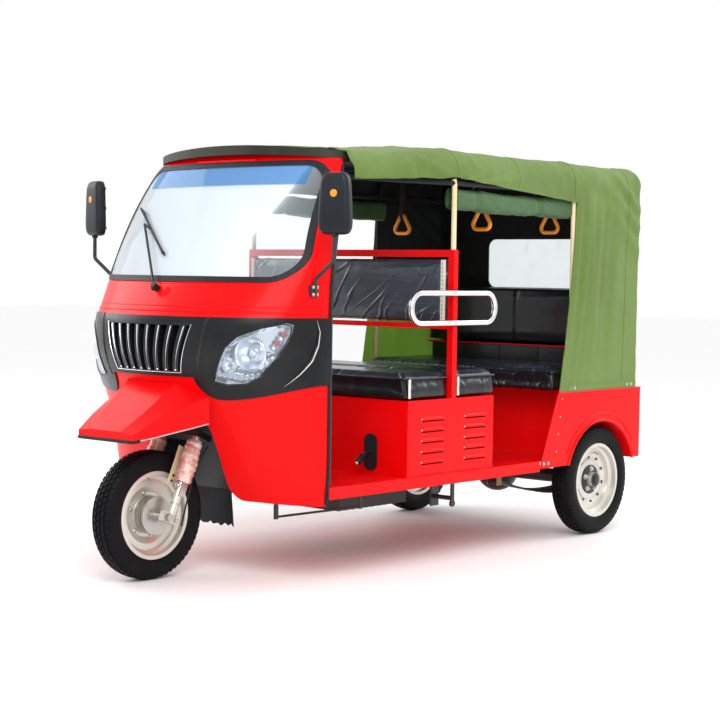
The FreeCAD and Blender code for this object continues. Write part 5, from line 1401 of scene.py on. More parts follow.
def makeBrakeHose(route):
    # runs down the left leg to the drum, its corners rounded by averaging neighbours
    hose = Shape()
    points = [onFork(*p) for p in route]
    smooth = []
    for a, b in zip(points, points[1:]):
        smooth += [a.lerp(b, s / 6) for s in range(6)]
    for step in range(3):
        inner = [(p + q + r) / 3 for p, q, r in zip(smooth, smooth[1:], smooth[2:])]
        smooth = [smooth[0]] + inner + [smooth[-1]]
    hose.tube(smooth, 0.0034, 10)
    hose.make("brakeHose", "black_rubber", 60, "steering")


makeForkTrim(forkSpec)
makeBrakeHose(forkSpec["hose"])
print("wheels and fork ready")


# mask, lamps and grille

# slats run from a place on the grille's foot to one on its head, as shares of its half width and (y, z)
grilleSpec = {
    "slats": 8, "shift": 0.004, "foot": (0.181, 0.84), "head": (0.239, 1.012), "slat": (0.0062, 0.004),
    "frameFoot": (0.1855, 0.83), "frameHead": (0.2435, 1.02), "sill": (0.183, 0.8305),
    "line": (0.0032, 0.0022)}


def makeGrilleTrim(spec):
    # bright front edge and foot on each slat, and a thin bright line inside the frame
    shape = Shape()
    (footY, footZ), (headY, headZ) = spec["foot"], spec["head"]
    for i in range(spec["slats"]):
        share = -1 + (2 * i + 1) / spec["slats"]
        ends = ((share * footY + spec["shift"], footZ), (share * headY + spec["shift"], headZ))
        path, normals = surfaceLine("grille", ends, 14)
        taper = [0.12 + 0.88 * smoothStep(1.25 * k / len(path) - 0.1) for k in range(len(path))]
        strip(shape, path, normals, *spec["slat"], taper)
        shape.dome(path[0], normals[0], 0.0042, 0.8, 12)
    for side in (1, -1):
        ends = [(side * y, z) for y, z in (spec["frameFoot"], spec["frameHead"])]
        strip(shape, *surfaceLine("grille", ends, 14), *spec["line"])
    y, z = spec["sill"]
    strip(shape, *surfaceLine("grille", ((-y, z), (y, z)), 24), *spec["line"])
    shape.make("grilleBrightwork", "lamp_reflector", 50)


makeGrilleTrim(grilleSpec)


def makeMaskRibs(ends):
    # the panel line between the grille's panel and the lamp's panel, on both sides
    shape = Shape()
    for side in (1, -1):
        path, normals = surfaceLine("front_mask", [(side * y, z) for y, z in ends], 20)
        taper = [0.3 + 0.7 * smoothStep(3 * (1 - k / (len(path) - 1))) for k in range(len(path))]
        strip(shape, path, normals, 0.013, 0.0036, taper)
    shape.make("maskRibs", "mask_plastic", 50, look="grillePlastic")


makeMaskRibs([(0.306, 1.05), (0.256, 0.8)])

# the moulding's outer edge on the mask: places ahead of the front axle (less is behind), and heights
crescentSpec = {
    "edge": [(-0.325, 1.042), (-0.338, 0.996), (-0.33, 0.944), (-0.304, 0.885), (-0.259, 0.834), (-0.211, 0.787)],
    "steps": 40, "width": 0.02, "rise": 0.008, "lineWidth": 0.0052, "lineRise": 0.0016, "lineLift": 0.0074}


def makeCrescent(spec):
    # moulding round the outer end of each lamp, with a pale silver line along its ridge: a painted highlight where the
    # ridge catches the light
    shape, bright = Shape(), Shape()
    edge = spec["edge"]
    for side in (1, -1):
        places = []
        for t in along(0, len(edge) - 1, spec["steps"]):
            n = min(int(t), len(edge) - 2)
            (x, z), (endX, endZ) = edge[n:n + 2]
            places.append(("front_mask", side, frontX + x + (endX - x) * (t - n), z + (endZ - z) * (t - n)))
        path, normals = traced(places, sideHit)
        taper = [0.15 + 0.85 * sin(pi * i / (len(path) - 1)) for i in range(len(path))]
        strip(shape, path, normals, spec["width"], spec["rise"], taper)
        # painted highlight: a pale strip lifted onto the ridge
        ridge = [p + n * (spec["lineLift"] * (0.3 + 0.7 * t)) for p, n, t in zip(path, normals, taper)]
        strip(bright, ridge, normals, spec["lineWidth"], spec["lineRise"], taper)
    shape.make("maskMoulding", "mask_plastic", 50)
    bright.make("maskMouldingLine", "silver_paint", 50)


makeCrescent(crescentSpec)

# outline and lamps hold shares of the lens's width and height; bowls also hold size and depth
lampSpec = {
    "outline": [(0.0, 0.05), (0.07, 0.23), (0.23, 0.6), (0.4, 0.79), (0.7, 0.93), (0.93, 1.0), (1.0, 0.97),
                (0.99, 0.84), (0.95, 0.67), (0.86, 0.43), (0.66, 0.14), (0.47, 0.02), (0.2, 0.0)],
    "low": (0.315, 0.787), "high": (0.565, 1.031), "edgeShare": 0.972, "edgeSteps": 5,
    "bowls": ((0.56, 0.5, 0.06, 0.018), (0.27, 0.3, 0.03, 0.016), (0.78, 0.4, 0.026, 0.018)),
    "section": (0.18, 0.3, 0.45, 0.6, 0.75, 0.9, 1.0), "cup": 0.55, "globe": 0.34,
    "cell": [(0.0125, -0.008), (0.0125, 0.0), (0.011, 0.001), (0.009, -0.003), (0.003, -0.006)]}


def lampPlace(side, across, up, depth):
    # point so far behind the lens, at shares of the lamp's width and height
    low, high = lampSpec["low"], lampSpec["high"]
    y = low[0] + (high[0] - low[0]) * across
    z = low[1] + (high[1] - low[1]) * up
    point, normal = frontHit("headlamp_lenses", side * y, z)
    return (None, None) if point is None else (point - normal * depth, normal)


def addBowl(bright, clear, at, normal, size):
    # reflector with its rim, and a globe in a socket inside it
    aim = (normal + Vector((0.9, 0, 0))).normalized()
    cup = [(size * s, -size * lampSpec["cup"] * (1 - s * s)) for s in lampSpec["section"]]
    bright.lathe(at, aim, cup + [(size * 1.06, 0.002), (size * 1.1, 0.0), (size * 1.1, -0.006)], 48)
    middle, r = at - aim * size * 0.35, size * lampSpec["globe"]
    clear.lathe(middle, aim, [(r * cos(a * pi / 12), r * sin(a * pi / 12)) for a in range(7)], 28)
    bright.lathe(middle, aim, [(r, -0.01), (size * 0.4, 0.0), (r, 0.004)], 28)


def lampEdge(side, spec):
    # the lens's outline, drawn in a little, laid on the lens
    outline, share = spec["outline"], spec["edgeShare"]
    places = []
    for a, b in zip(outline, outline[1:] + outline[:1]):
        for k in range(spec["edgeSteps"]):
            across, up = [(p + (q - p) * k / spec["edgeSteps"] - 0.5) * share + 0.5 for p, q in zip(a, b)]
            places.append((side, across, up, -0.0012))
    return traced(places, lampPlace)[0]


def makeLamps(spec):
    # three bowls, a row of cells below, coloured markers outside, bars above and the seal round each lens
    bright, clear, red, dark = Shape(), Shape(), Shape(), Shape()
    for side in (1, -1):
        for across, up, size, depth in spec["bowls"]:
            at, normal = lampPlace(side, across, up, depth)
            if at is not None:
                addBowl(bright, clear, at, normal, size)
        for k in range(9):
            at, normal = lampPlace(side, 0.1 + 0.6 * k / 8, 0.105 + 0.05 * abs(k - 4) / 4, 0.012)
            if at is not None:
                bright.lathe(at, normal, spec["cell"], 6)
                clear.dome(at, normal, 0.0065, 0.9, 14)
        for k in range(4):
            at, normal = lampPlace(side, 0.83 + 0.035 * k, 0.6 + 0.075 * k, 0.014)
            if at is not None:
                (red if k % 2 else bright).dome(at, normal, 0.0125, 0.7, 6)
        dark.tube(lampEdge(side, spec), 0.0024, 8, closed=True)
        for k in range(5):
            across, up = 0.2 + 0.11 * k, 0.62 + 0.065 * k
            bar = traced([(side, across, up - 0.05, 0.01), (side, across + 0.1, up + 0.02, 0.01)], lampPlace)[0]
            if len(bar) == 2:
                bright.tube(bar, 0.0032, 8)
    bright.make("lampReflectors", "lamp_reflector", 40)
    clear.make("lampGlobes", "lamp_lens", 50)
    red.make("lampMarkers", "lamp_red", 40)
    dark.make("lampSeals", "black_plastic", 40)


makeLamps(lampSpec)
print("nose ready")


# beads and seams pressed in the cab's panels

def makeCabBeads(beads):
    # two pressed lines round the nose, each with a height, a width and a rise
    shape = Shape()
    for z, width, rise in beads:
        angles = [radians(a) for a in along(-91, 91, 120) if abs(a) < 90]
        strip(shape, *traced([("cab_shell", a, z) for a in angles], cabSkin), width, rise)
    shape.make("cabBeads", "red_paint")


makeCabBeads(((1.0705, 0.009, 0.0028), (1.09, 0.006, 0.0016)))


trimSpec = {
    "low": 0.318, "high": 1.655, "belt": 1.068, "screenTall": 0.634, "lean": 0.171, "edge": 0.39, "rail": 1.676,
    "coverAt": (0.042, 1.145), "cover": [(0.021, -0.004), (0.02, 0.003), (0.014, 0.008), (0.006, 0.0105), (0, 0.011)]}


def cabEdge(spec, z):
    # station of the cab's rear edge: upright to the belt, then leaning back in a curve
    return place(spec["edge"] + spec["lean"] * max(0, (z - spec["belt"]) / spec["screenTall"]) ** 2) - 0.004


def makeCabTrim(spec):
    # rubber lip down each rear edge of the cab, drip rail under the roof, cover beside the wiper
    rubber, red = Shape(), Shape()
    for side in (1, -1):
        places = [("cab_shell", side, cabEdge(spec, z), z) for z in along(spec["low"], spec["high"], 59)]
        rubber.tube([p + Vector((-0.006, side * 0.002, 0)) for p in traced(places, sideHit)[0]], 0.0065, 10)
    places = [("cab_shell", radians(a), spec["rail"]) for a in along(-86, 86, 80)]
    red.tube(traced(places, cabSkin, 0.004)[0], 0.0062, 10, flat=0.8)
    red.lathe(*frontHit("cab_shell", *spec["coverAt"]), spec["cover"], 28)
    rubber.make("cabEdgeRubber", "black_rubber")
    red.make("cabDripRail", "red_paint")


makeCabTrim(trimSpec)


tintSpec = {"low": 1.575, "high": 1.655, "half": 0.5, "sideLow": 1.2, "sideTall": 0.46, "sideHalf": 0.545,
            "narrowing": 0.055, "lift": 0.0006}


def makeTintBand(spec):
    # blue sun band on the top of the glass, held within its leaning sides
    rows = []
    for z in along(spec["low"], spec["high"], 7):
        limit = spec["sideHalf"] - spec["narrowing"] * (z - spec["sideLow"]) / spec["sideTall"]
        row = [frontHit("windscreen", max(-limit, min(limit, y)), z) for y in along(-spec["half"], spec["half"], 60)]
        rows.append([None if point is None else point + normal * spec["lift"] for point, normal in row])
    whole = [column for column in zip(*rows) if None not in column]
    shape = Shape()
    shape.grid([list(row) for row in zip(*whole)])
    shape.make("screenTintBand", "screen_glass", look="tintBand")


makeTintBand(tintSpec)


# mirrors

# rings of the housing from the glass to its back: depth and share of the outline
mirrorSpec = {
    "x": place(0.308), "y": 0.702, "low": 1.372, "high": 1.61, "wide": 0.142, "top": 0.116, "turn": 15,
    "squareness": 5.2, "count": 56, "glassShare": 0.915, "glassRings": (1.0, 0.7, 0.35, 0.05),
    "rings": ((-0.0145, 0.9), (-0.0175, 0.93), (-0.0205, 0.955), (-0.0208, 0.985), (-0.017, 1.0), (-0.004, 1.0),
              (0.006, 0.985), (0.013, 0.95), (0.0175, 0.88), (0.02, 0.74), (0.0208, 0.5), (0.021, 0.22)),
    "reflector": [(0.0145, -0.002), (0.0145, 0.0015), (0.013, 0.0028), (0.0085, 0.0036), (0, 0.004)],
    "socket": [(0.012, -0.004), (0.013, 0.0), (0.011, 0.01), (0.009, 0.016)], "tabs": (-0.085, 0.0, 0.085)}


def makeMirrors(spec):
    # housing narrowing upwards with a softly square outline, its glass, reflector, tabs and socket
    black, orange, glass = Shape(), Shape(), Shape()
    tall = (spec["high"] - spec["low"]) / 2
    power = 2 / spec["squareness"]

    def outline(a, scale):
        c, s = cos(a), sin(a)
        z = copysign(abs(s) ** power, s) * tall * scale
        half = (spec["wide"] + (spec["top"] - spec["wide"]) * (z / tall + 1) / 2) / 2
        return copysign(abs(c) ** power, c) * half * scale, z

    for side in (1, -1):
        turn = Matrix.Rotation(radians(spec["turn"] * side), 3, "Z")
        origin = Vector((spec["x"], side * spec["y"], (spec["low"] + spec["high"]) / 2))

        def put(depth, y, z):
            return origin + turn @ Vector((depth, side * y, z))

        def ring(depth, scale):
            return [put(depth, *outline(a, scale)) for a in circle(spec["count"])]

        black.grid([ring(depth, scale) for depth, scale in spec["rings"]], around=True, caps=True)
        glass.grid([ring(-0.015 - 0.0006 * (1 - scale), scale * spec["glassShare"]) for scale in spec["glassRings"]],
                   around=True, caps=True)
        orange.lathe(put(0.0205, 0.004, 0.038), turn @ Vector((1, 0, 0)), spec["reflector"], 32)
        for z in spec["tabs"]:
            y = -0.069 + 0.005 * z / 0.085
            black.tube([put(-0.019, y, z - 0.006), put(-0.019, y, z + 0.006)], 0.0016, 8)
        black.lathe(put(0, 0, -tall - 0.004), (0, 0, 1), spec["socket"], 20)
    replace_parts(black.make("mirrorHousings", "black_plastic", 50), "mirror_heads")
    orange.make("mirrorReflectors", "orange_plastic", 40, look="amber")
    glass.make("mirrorFaces", "screen_glass", 40, look="mirrorGlass")


makeMirrors(mirrorSpec)


def makeMirrorBolts(x, z):
    # four bolts on each arm's clamp
    shape = Shape()
    for side in (1, -1):
        for dx in (-0.01, 0.01):
            for dz in (-0.014, 0.014):
                point = sideHit("mirror_arms", side, x + dx, z + dz)[0]
                if point is not None and abs(point.y) > 0.5:
                    shape.bolt(point, (0, side, 0), 0.0055)
    shape.make("mirrorClampBolts", "bare_steel", 30)


makeMirrorBolts(place(0.318), 1.156)
print("cab trim ready")


# front mudguard edge

# the lip's edge from rear to front: place ahead of the front axle, half width and height
guardSpec = {"edge": [(-0.085, 0.258, 0.63), (-0.02, 0.236, 0.615), (0.04, 0.216, 0.603), (0.13, 0.188, 0.584),
                      (0.222, 0.16, 0.569)], "inset": 0.0025, "rise": 0.001, "back": (-0.03, 0.01, 0.004)}


def makeGuardEdge(spec):
    # rubber under the front lip, a bright rolled edge down each side
    rubber, bright = Shape(), Shape()
    back = Vector(spec["back"])
    for side in (1, -1):
        edge = [Vector((frontX + x, side * (half - spec["inset"]), z + spec["rise"])) for x, half, z in spec["edge"]]
        bright.tube(finer(edge, 0.02, 2), 0.0034, 10)
    corners = [edge[-1], edge[-1] * Vector((1, -1, 1))]
    lip = [edge[-1] + back * Vector((1, -1, 1)), *corners, corners[1] + back]
    rubber.tube(finer(lip, 0.02, 2), 0.0058, 10, flat=1.2)
    rubber.make("guardLipRubber", "black_rubber")
    bright.make("guardSideEdges", "bare_steel")


makeGuardEdge(guardSpec)


# driver's box: pressed louvres, rivets; tub: arch beads, bolts; backrest tapes

# planes of the driver's box and the tub, and the tub's back; stations behind the front axle
boxSide, tubSide, tailX = 0.6, 0.61, -1.455
louvreSpec = {
    "backs": (0.982, 1.273), "rows": 5, "wide": 0.148, "pitch": 0.045, "low": 0.43, "proud": 0.0048, "steps": 24,
    "section": ((0, 0.02), (0.45, 0.0165), (0.85, 0.012), (1, 0.007), (0.9, 0.0055), (0, 0.0065))}
# arches hold radius, thickness and the angles they run between; ribs hold height and half width
pressSpec = {
    "arches": ((0.289, 0.0075, 18.5, 161.5), (0.322, 0.004, 26, 146)), "sillBolts": (1.885, 1.85),
    "boltHeight": 0.371, "rivets": (0.42, 0.5, 0.58, 0.66), "rivetBack": 1.995, "rivetLean": 0.18,
    "topEdge": (1.962, 0.6885), "backBolts": (-0.4, -0.2, 0.2, 0.4), "ribs": ((0.6, 0.4), (0.4, 0.46))}


def addLouvre(shape, spec, side, back, z):
    # hooded slot pressed out of the box's side, its ends drawn in
    first, last = place(back + spec["wide"]), place(back)
    rows = []
    for t in along(0, 1, spec["steps"]):
        bulge = spec["proud"] * min(1.0, 6 * t, 18 * (1 - t)) ** 0.6
        rows.append([Vector((first + (last - first) * t, side * (boxSide + out * bulge - 0.0006), z + up))
                     for out, up in spec["section"]])
    shape.grid(rows)


def makeBodyPressings(louvres, spec):
    # louvres with a rivet each, lip and pressed line of the wheel arch, folded edges, bolts and rivets of the tub
    red, steel = Shape(), Shape()
    for side in (1, -1):
        out = (0, side, 0)
        for back in louvres["backs"]:
            for i in range(louvres["rows"]):
                z = louvres["low"] + louvres["pitch"] * i
                addLouvre(red, louvres, side, back, z)
                steel.dome((place(back) + 0.0015, side * boxSide, z + 0.011), out, 0.0042, 0.9, 14)
        for radius, thick, start, end in spec["arches"]:
            turns = [radians(a) for a in along(start, end, 60)]
            red.tube([Vector((rearX + radius * cos(a), side * tubSide, tyreRadius + radius * sin(a)))
                      for a in turns], thick, 10, flat=0.9)
        for back in spec["sillBolts"]:
            steel.bolt((place(back), side * tubSide, spec["boltHeight"]), out, 0.0065)
        for z in spec["rivets"]:
            x = place(spec["rivetBack"]) + (0.67 - z) * spec["rivetLean"]
            steel.dome((x, side * tubSide, z), out, 0.004, 0.4, 12)
        back, z = spec["topEdge"]
        red.tube([Vector((x, side * (tubSide + 0.0005), z)) for x in (place(back), tailX + 0.0015)], 0.0042, 8)
    for y in spec["backBolts"]:
        steel.bolt((tailX + 0.0002, y, 0.655), (-1, 0, 0), 0.0055)
    for z, half in spec["ribs"]:
        red.tube([Vector((tailX, -half, z)), Vector((tailX, half, z))], 0.0045, 8)
    red.make("bodyPressings", "red_paint", 50)
    steel.make("bodyFasteners", "bare_steel", 30)


makeBodyPressings(louvreSpec, pressSpec)

# sections hold outward and sideways places; the tabs' heights are those of the seat covers' sides
tapeSpec = {
    "padEnd": 0.555, "width": 0.02, "holes": 14, "pitch": 0.0175, "wave": 0.0012,
    "tabLow": 0.712, "tabTall": 0.082, "tabY": 0.6015, "tabXs": (driverHigh.x - 0.03, splitRear - 0.026),
    "tab": ((-0.002, -0.008), (0, -0.006), (0, 0.006), (-0.002, 0.008))}


def makeTapes(spec):
    # light edging tape at the pad's end, with its row of holes, and the tape tabs of the seat covers
    cream, dark = Shape(), Shape()
    low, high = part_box("backrest_pad")
    face, width, wave = high.x + 0.003, spec["width"], spec["wave"]
    edge = ((-0.006, 0), (0.0022, 0.001), (0.003, width / 2), (0.0015, width - 0.001), (-0.008, width))
    for side in (1, -1):
        rows = []
        for z in along(low.z + 0.012, high.z - 0.012, 40):
            y = spec["padEnd"] + wave * wander(Vector((0, side, z * 30)))
            rows.append([Vector((face + out, side * (y + across), z)) for out, across in edge])
        cream.grid(rows)
        for k in range(spec["holes"]):
            spot = (face + 0.0028, side * (spec["padEnd"] + 0.0105), low.z + 0.028 + spec["pitch"] * k)
            dark.dome(spot, (1, 0, 0), 0.0028, 0.25, 10)
    for x in spec["tabXs"]:
        for side in (1, -1):
            rows = []
            for z in along(spec["tabLow"], spec["tabLow"] + spec["tabTall"], 12):
                y = spec["tabY"] + wave * wander(Vector((x * 9, side, z * 40)))
                rows.append([Vector((x + shift, side * (y + out), z)) for out, shift in spec["tab"]])
            cream.grid(rows)
    cream.make("coverTapes", "black_vinyl", 50, look="creamTape")
    dark.make("tapeHoles", "black_vinyl", 50)


makeTapes(tapeSpec)


def makePiping(boxes):
    # welts along the upper edges of the seats, round at the corners and a little uneven
    shape = Shape()
    bend, r, down = 0.026, 0.024, 0.02
    for low, high in boxes:
        low, high = Vector(low), Vector(high)
        path = []
        for x, y, start in ((high.x - bend, high.y - bend, 0), (low.x + bend, high.y - bend, 90),
                            (low.x + bend, low.y + bend, 180), (high.x - bend, low.y + bend, 270)):
            for degrees in along(start, start + 90, 8):
                a = radians(degrees)
                path.append(Vector((x + r * cos(a), y + r * sin(a), high.z - down)))
        path = finer(path + path[:1], 0.03)[:-1]
        shape.tube([p + Vector((0, 0, 0.0015 * wander(p * 9, 4.0))) for p in path], 0.004, 8, closed=True)
    shape.make("seatWelts", "black_vinyl")


makePiping((driverBox, middleBox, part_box("rear_cushion")))

skirtSpec = {"x": place(2.455) - 0.03, "thick": 0.01, "low": 0.795, "high": 0.8835, "half": 0.56, "seam": 0.0012,
             "seams": (-0.36, -0.12, 0.12, 0.36), "bevel": 0.0035, "weltHalf": 0.563}


def makeBackSkirt(spec):
    # seamed panel between the rear seat and its backrest, and the backrest's red lower welt
    panel, welt = Shape(), Shape()
    edges = [-spec["half"], *spec["seams"], spec["half"]]
    front, back, seam = spec["x"], spec["x"] - spec["thick"], spec["seam"]
    for start, end in zip(edges, edges[1:]):
        panel.block((back, start + seam, spec["low"]), (front, end - seam, spec["high"]), spec["bevel"], None, 3)
    low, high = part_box("rear_backrest")
    half = spec["weltHalf"]
    welt.tube([Vector((high.x - 0.004, y, low.z - 0.001)) for y in along(-half, half, 30)], 0.0042, 10)
    panel.make("backSkirt", "black_vinyl", 40)
    welt.make("backWelt", "red_paint")


makeBackSkirt(skirtSpec)
print("body trim ready")


# wiper, controls and instruments

# the blade's ends on the screen and the place of its pivot's cap, as (y, z)
wiperSpec = {"blade": ((-0.074, 1.288), (-0.404, 1.474)), "lift": 0.0045, "radius": 0.0032, "flat": 2.2,
             "cap": (-0.008, 1.1545)}


def makeWiperTrim(spec):
    rubber, cap = Shape(), Shape()
    path = surfaceLine("windscreen", spec["blade"], 24, spec["lift"])[0]
    rubber.tube(path, spec["radius"], 8, flat=spec["flat"])
    rubber.make("wiperBlade", "black_rubber")
    cap.dome(*frontHit("wiper", *spec["cap"]), 0.0105, 0.7, 20)
    cap.make("wiperCap", "black_plastic", 40)


makeWiperTrim(wiperSpec)


# handlebar places are ahead of the steering axis, sideways, and up along it from the fork's foot
barSpec = {
    "end": (-0.06, 0.3, 0.876), "inner": (-0.036, 0.165, 0.858), "ribs": 15, "ribPitch": 0.0075,
    "rib": [(0.0158, 0), (0.0172, 0.0016), (0.0172, 0.0042), (0.0158, 0.0058)], "switchAt": 0.124,
    "switch": [(0.012, 0), (0.021, 0.002), (0.0225, 0.008), (0.0225, 0.03), (0.021, 0.036), (0.012, 0.038)],
    "pivot": (0.15, 0.026), "tip": (0.012, 0.058), "leverRadii": [0.006, 0.0055, 0.005, 0.0065],
    "clampLow": (0.022, 0.01, 0.01), "clampHigh": (0.012, 0.01, 0.01)}
gaugeSpec = {
    "centre": (place(0.244), 0, 1.126), "face": 0.031, "ticks": 11, "start": -45, "turn": 270, "lampY": 0.066,
    "ring": [(0.036, -0.002), (0.038, 0.004), (0.036, 0.007), (0.032, 0.005), (0.031, 0.001)],
    "lamp": [(0.012, -0.001), (0.012, 0.003), (0.009, 0.004), (0, 0.0042)]}


def makeControls(spec):
    # on each end of the handlebar a ribbed grip, a switch box and a lever in its clamp
    rubber, steel, plastic = Shape(), Shape(), Shape()
    (endAhead, endY, endUp), (innerAhead, innerY, innerUp) = spec["end"], spec["inner"]
    for side in (1, -1):
        end = onFork(endAhead, side * endY, endUp)
        inward = (onFork(innerAhead, side * innerY, innerUp) - end).normalized()
        for k in range(spec["ribs"]):
            rubber.lathe(end + inward * (0.004 + spec["ribPitch"] * k), inward, spec["rib"], 24)
        plastic.lathe(end + inward * spec["switchAt"], inward, spec["switch"], 24)
        pivot, tip = [end + inward * a + forkAhead * b for a, b in (spec["pivot"], spec["tip"])]
        bow = [pivot.lerp(tip, share) + forkAhead * 0.012 for share in (0.15, 0.5)]
        steel.tube([pivot, *bow, tip], spec["leverRadii"], 10, flat=0.6)
        steel.block(pivot - Vector(spec["clampLow"]), pivot + Vector(spec["clampHigh"]), 0.003)
    rubber.make("gripRibs", "black_rubber", 60, "steering")
    steel.make("handLevers", "bare_steel", 40, "steering")
    plastic.make("switchBoxes", "black_plastic", 40, "steering")


def makeGauge(spec):
    # gauge in its pod, with ticks, a needle and a warning lamp to each side
    dial, ring, marks = Shape(), Shape(), Shape()
    back, centre = Vector((-1, 0, 0)), Vector(spec["centre"])
    ring.lathe(centre, back, spec["ring"], 40)
    dial.lathe(centre, back, [(spec["face"], 0.001), (0, 0.0012)], 40)
    for k in range(spec["ticks"]):
        a = radians(spec["start"] + spec["turn"] * k / (spec["ticks"] - 1))
        out = Vector((0, cos(a), sin(a)))
        marks.tube([centre + back * 0.0018 + out * r for r in (0.023, 0.028)], 0.0008, 6)
    needle = centre + back * 0.0022
    marks.tube([needle, needle + Vector((0, 0.014, 0.014))], 0.0009, 6)
    for side in (-1, 1):
        dial.lathe(centre + Vector((0, side * spec["lampY"], 0)), back, spec["lamp"], 20)
    ring.make("gaugeRing", "polished_tube", 40)
    dial.make("gaugeFace", "black_plastic", 40)
    marks.make("gaugeMarks", "cream_tube", 40, look="creamTape")


makeControls(barSpec)
makeGauge(gaugeSpec)


gripSpec = {
    "tip": (place(0.887) + 0.086, 0.4402), "aim": (0.048, 0, -0.034), "length": 0.046, "buttonAt": 0.003,
    "grip": [(0.0086, 0), (0.0125, 0.002), (0.015, 0.012), (0.0145, 0.034), (0.015, 0.044), (0.012, 0.049),
             (0.007, 0.05), (0, 0.05)],
    "button": [(0.0068, 0), (0.0066, 0.005), (0.005, 0.007), (0, 0.0074)]}


def makeLeverGrip(spec):
    # plastic grip with a pale button over the end of the hand lever
    low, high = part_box("hand_lever")
    aim = Vector(spec["aim"]).normalized()
    x, z = spec["tip"]
    tip = Vector((x, (low.y + high.y) / 2, z))
    grip, button = Shape(), Shape()
    grip.lathe(tip - aim * spec["length"], aim, spec["grip"], 24)
    button.lathe(tip + aim * spec["buttonAt"], aim, spec["button"], 20)
    grip.make("leverGrip", "black_plastic", 40)
    button.make("leverButton", "cream_tube", 40, look="creamTape")


makeLeverGrip(gripSpec)


# the lamps' sides, and the share of the width that each lens takes
tailSpec = {"inner": 0.482, "outer": 0.59, "stop": (0.0, 0.6), "turn": (0.62, 1.0), "flutes": 7, "proud": 0.0006,
            "deep": 0.006, "gap": 0.002, "edge": 0.004, "rim": 0.004}


def makeTailLamps(spec):
    # red and amber lenses with cross flutes, in a black rim
    red, amber, dark = Shape(), Shape(), Shape()
    low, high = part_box("tail_lamps")
    inner, outer = spec["inner"], spec["outer"]
    front, back, edge = low.x - spec["proud"], low.x + spec["deep"], spec["edge"]
    for side in (1, -1):
        for (start, end), shape in ((spec["stop"], red), (spec["turn"], amber)):
            a, b = [inner + (outer - inner) * share for share in (start, end)]
            near, far = sorted((side * a, side * b))
            shape.block((front, near + spec["gap"], low.z + edge), (back, far - spec["gap"], high.z - edge), 0.0025)
            for z in along(low.z + 0.014, high.z - 0.014, spec["flutes"] - 1):
                shape.tube([Vector((low.x - 0.0004, side * y, z)) for y in (a + 0.006, b - 0.006)], 0.0012, 6)
        y0, y1, z0, z1 = inner - spec["rim"], outer + spec["rim"], low.z - 0.001, high.z + 0.001
        rim = [(y0, z0), (y1, z0), (y1, z1), (y0, z1)]
        path = []
        for (y, z), (endY, endZ) in zip(rim, rim[1:] + rim[:1]):
            path += [Vector((low.x + 0.005, side * (y + (endY - y) * k / 6), z + (endZ - z) * k / 6)) for k in range(6)]
        dark.tube(path, 0.0035, 8, closed=True)
    red.make("stopLenses", "lamp_red", 40)
    amber.make("turnLenses", "orange_plastic", 40, look="amber")
    dark.make("tailLampRims", "black_plastic", 50)


makeTailLamps(tailSpec)


# covers hold x, z and a profile
engineSpec = {
    "y": 0.19, "case": (0.12, 0.33),
    "caseCover": [(0.088, -0.004), (0.088, 0.004), (0.08, 0.01), (0.03, 0.012), (0, 0.0125)],
    "drive": (-0.06, 0.35), "driveCover": [(0.062, -0.004), (0.062, 0.006), (0.055, 0.011), (0, 0.012)],
    "bolts": 8, "boltRing": 0.075, "fins": 9, "finLow": 0.46, "finPitch": 0.0155, "finTall": 0.0045, "finDeep": 0.009,
    "finFrom": -0.15, "finTo": 0.1, "ribs": 10, "ribFrom": -0.16, "ribPitch": 0.044, "ribHalf": 0.16}


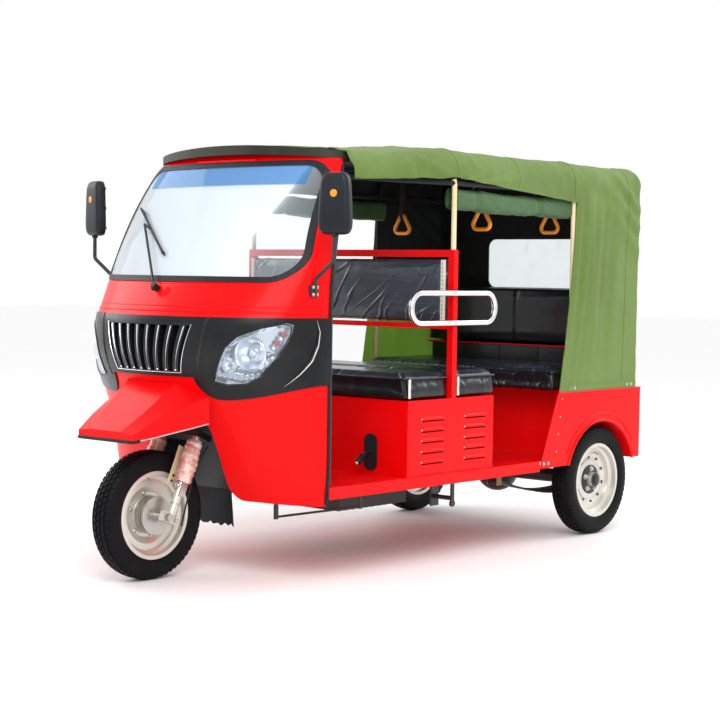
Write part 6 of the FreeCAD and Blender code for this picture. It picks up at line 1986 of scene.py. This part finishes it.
def makeEngineDetail(spec):
    # case covers, bolts and fins on the sides of the plain block, ribs below
    metal = Shape()
    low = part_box("engine")[0]
    (x, z), (driveX, driveZ) = spec["case"], spec["drive"]
    for side in (1, -1):
        y, out = side * spec["y"], (0, side, 0)
        metal.lathe((x, y, z), out, spec["caseCover"], 40)
        metal.lathe((driveX, y, driveZ), out, spec["driveCover"], 36)
        for a in circle(spec["bolts"]):
            spot = (x + spec["boltRing"] * cos(a), y + side * 0.004, z + spec["boltRing"] * sin(a))
            metal.bolt(spot, out, 0.0055, False)
        near, far = sorted((y, y + side * spec["finDeep"]))
        for k in range(spec["fins"]):
            up = spec["finLow"] + spec["finPitch"] * k
            metal.block((spec["finFrom"], near, up), (spec["finTo"], far, up + spec["finTall"]), 0.001)
    for k in range(spec["ribs"]):
        start, half = spec["ribFrom"] + spec["ribPitch"] * k, spec["ribHalf"]
        metal.block((start, -half, low.z - 0.008), (start + 0.006, half, low.z + 0.002), 0.001)
    # in the near-black engine metal: painted shade, so the covers read as shadowed underside too
    metal.make("engineCovers", "engine_metal", 35)


makeEngineDetail(engineSpec)
print("mechanical trim ready")


# floor and light; lights hold a place, a size and a power
stageSpec = {
    "half": 40, "floor": (0.86, 0.86, 0.86), "aim": (0, 0, 0.8), "lights": {
    "keyLight": ((5.0, 4.5, 5.5), 4.5, 330), "fillLight": ((2.0, -6.0, 4.0), 4.0, 160),
    "rearLight": ((-6.0, 2.0, 4.5), 4.0, 180)}}


def makeStage(spec):
    half = spec["half"]
    mesh = bpy.data.meshes.new("studioFloor")
    mesh.from_pydata([(-half, -half, 0), (half, -half, 0), (half, half, 0), (-half, half, 0)], [], [(0, 1, 2, 3)])
    floor = addObject("studioFloor", mesh)
    f = Finish("studioFloor", spec["floor"], 0.6)
    f.set("Base Color", f.blend(f.noise(0.7, 3), (0.94, 0.94, 0.94), (0.97, 0.97, 0.97)))
    mesh.materials.append(f.material)
    world = bpy.data.worlds.new("studio")
    scene.world = world
    world.use_nodes = True
    world.node_tree.nodes["Background"].inputs[0].default_value = (1.0, 1.0, 1.0, 1)
    world.node_tree.nodes["Background"].inputs[1].default_value = 1.0
    for name, (at, size, power) in spec["lights"].items():
        light = bpy.data.lights.new(name, "AREA")
        light.size = size
        light.energy = power
        lamp = addObject(name, light)
        lamp.location = at
        lamp.rotation_mode = "QUATERNION"
        lamp.rotation_quaternion = (Vector(spec["aim"]) - Vector(at)).to_track_quat("-Z", "Y")
    scene.view_settings.view_transform = "Standard"


makeStage(stageSpec)

print("scene ready")
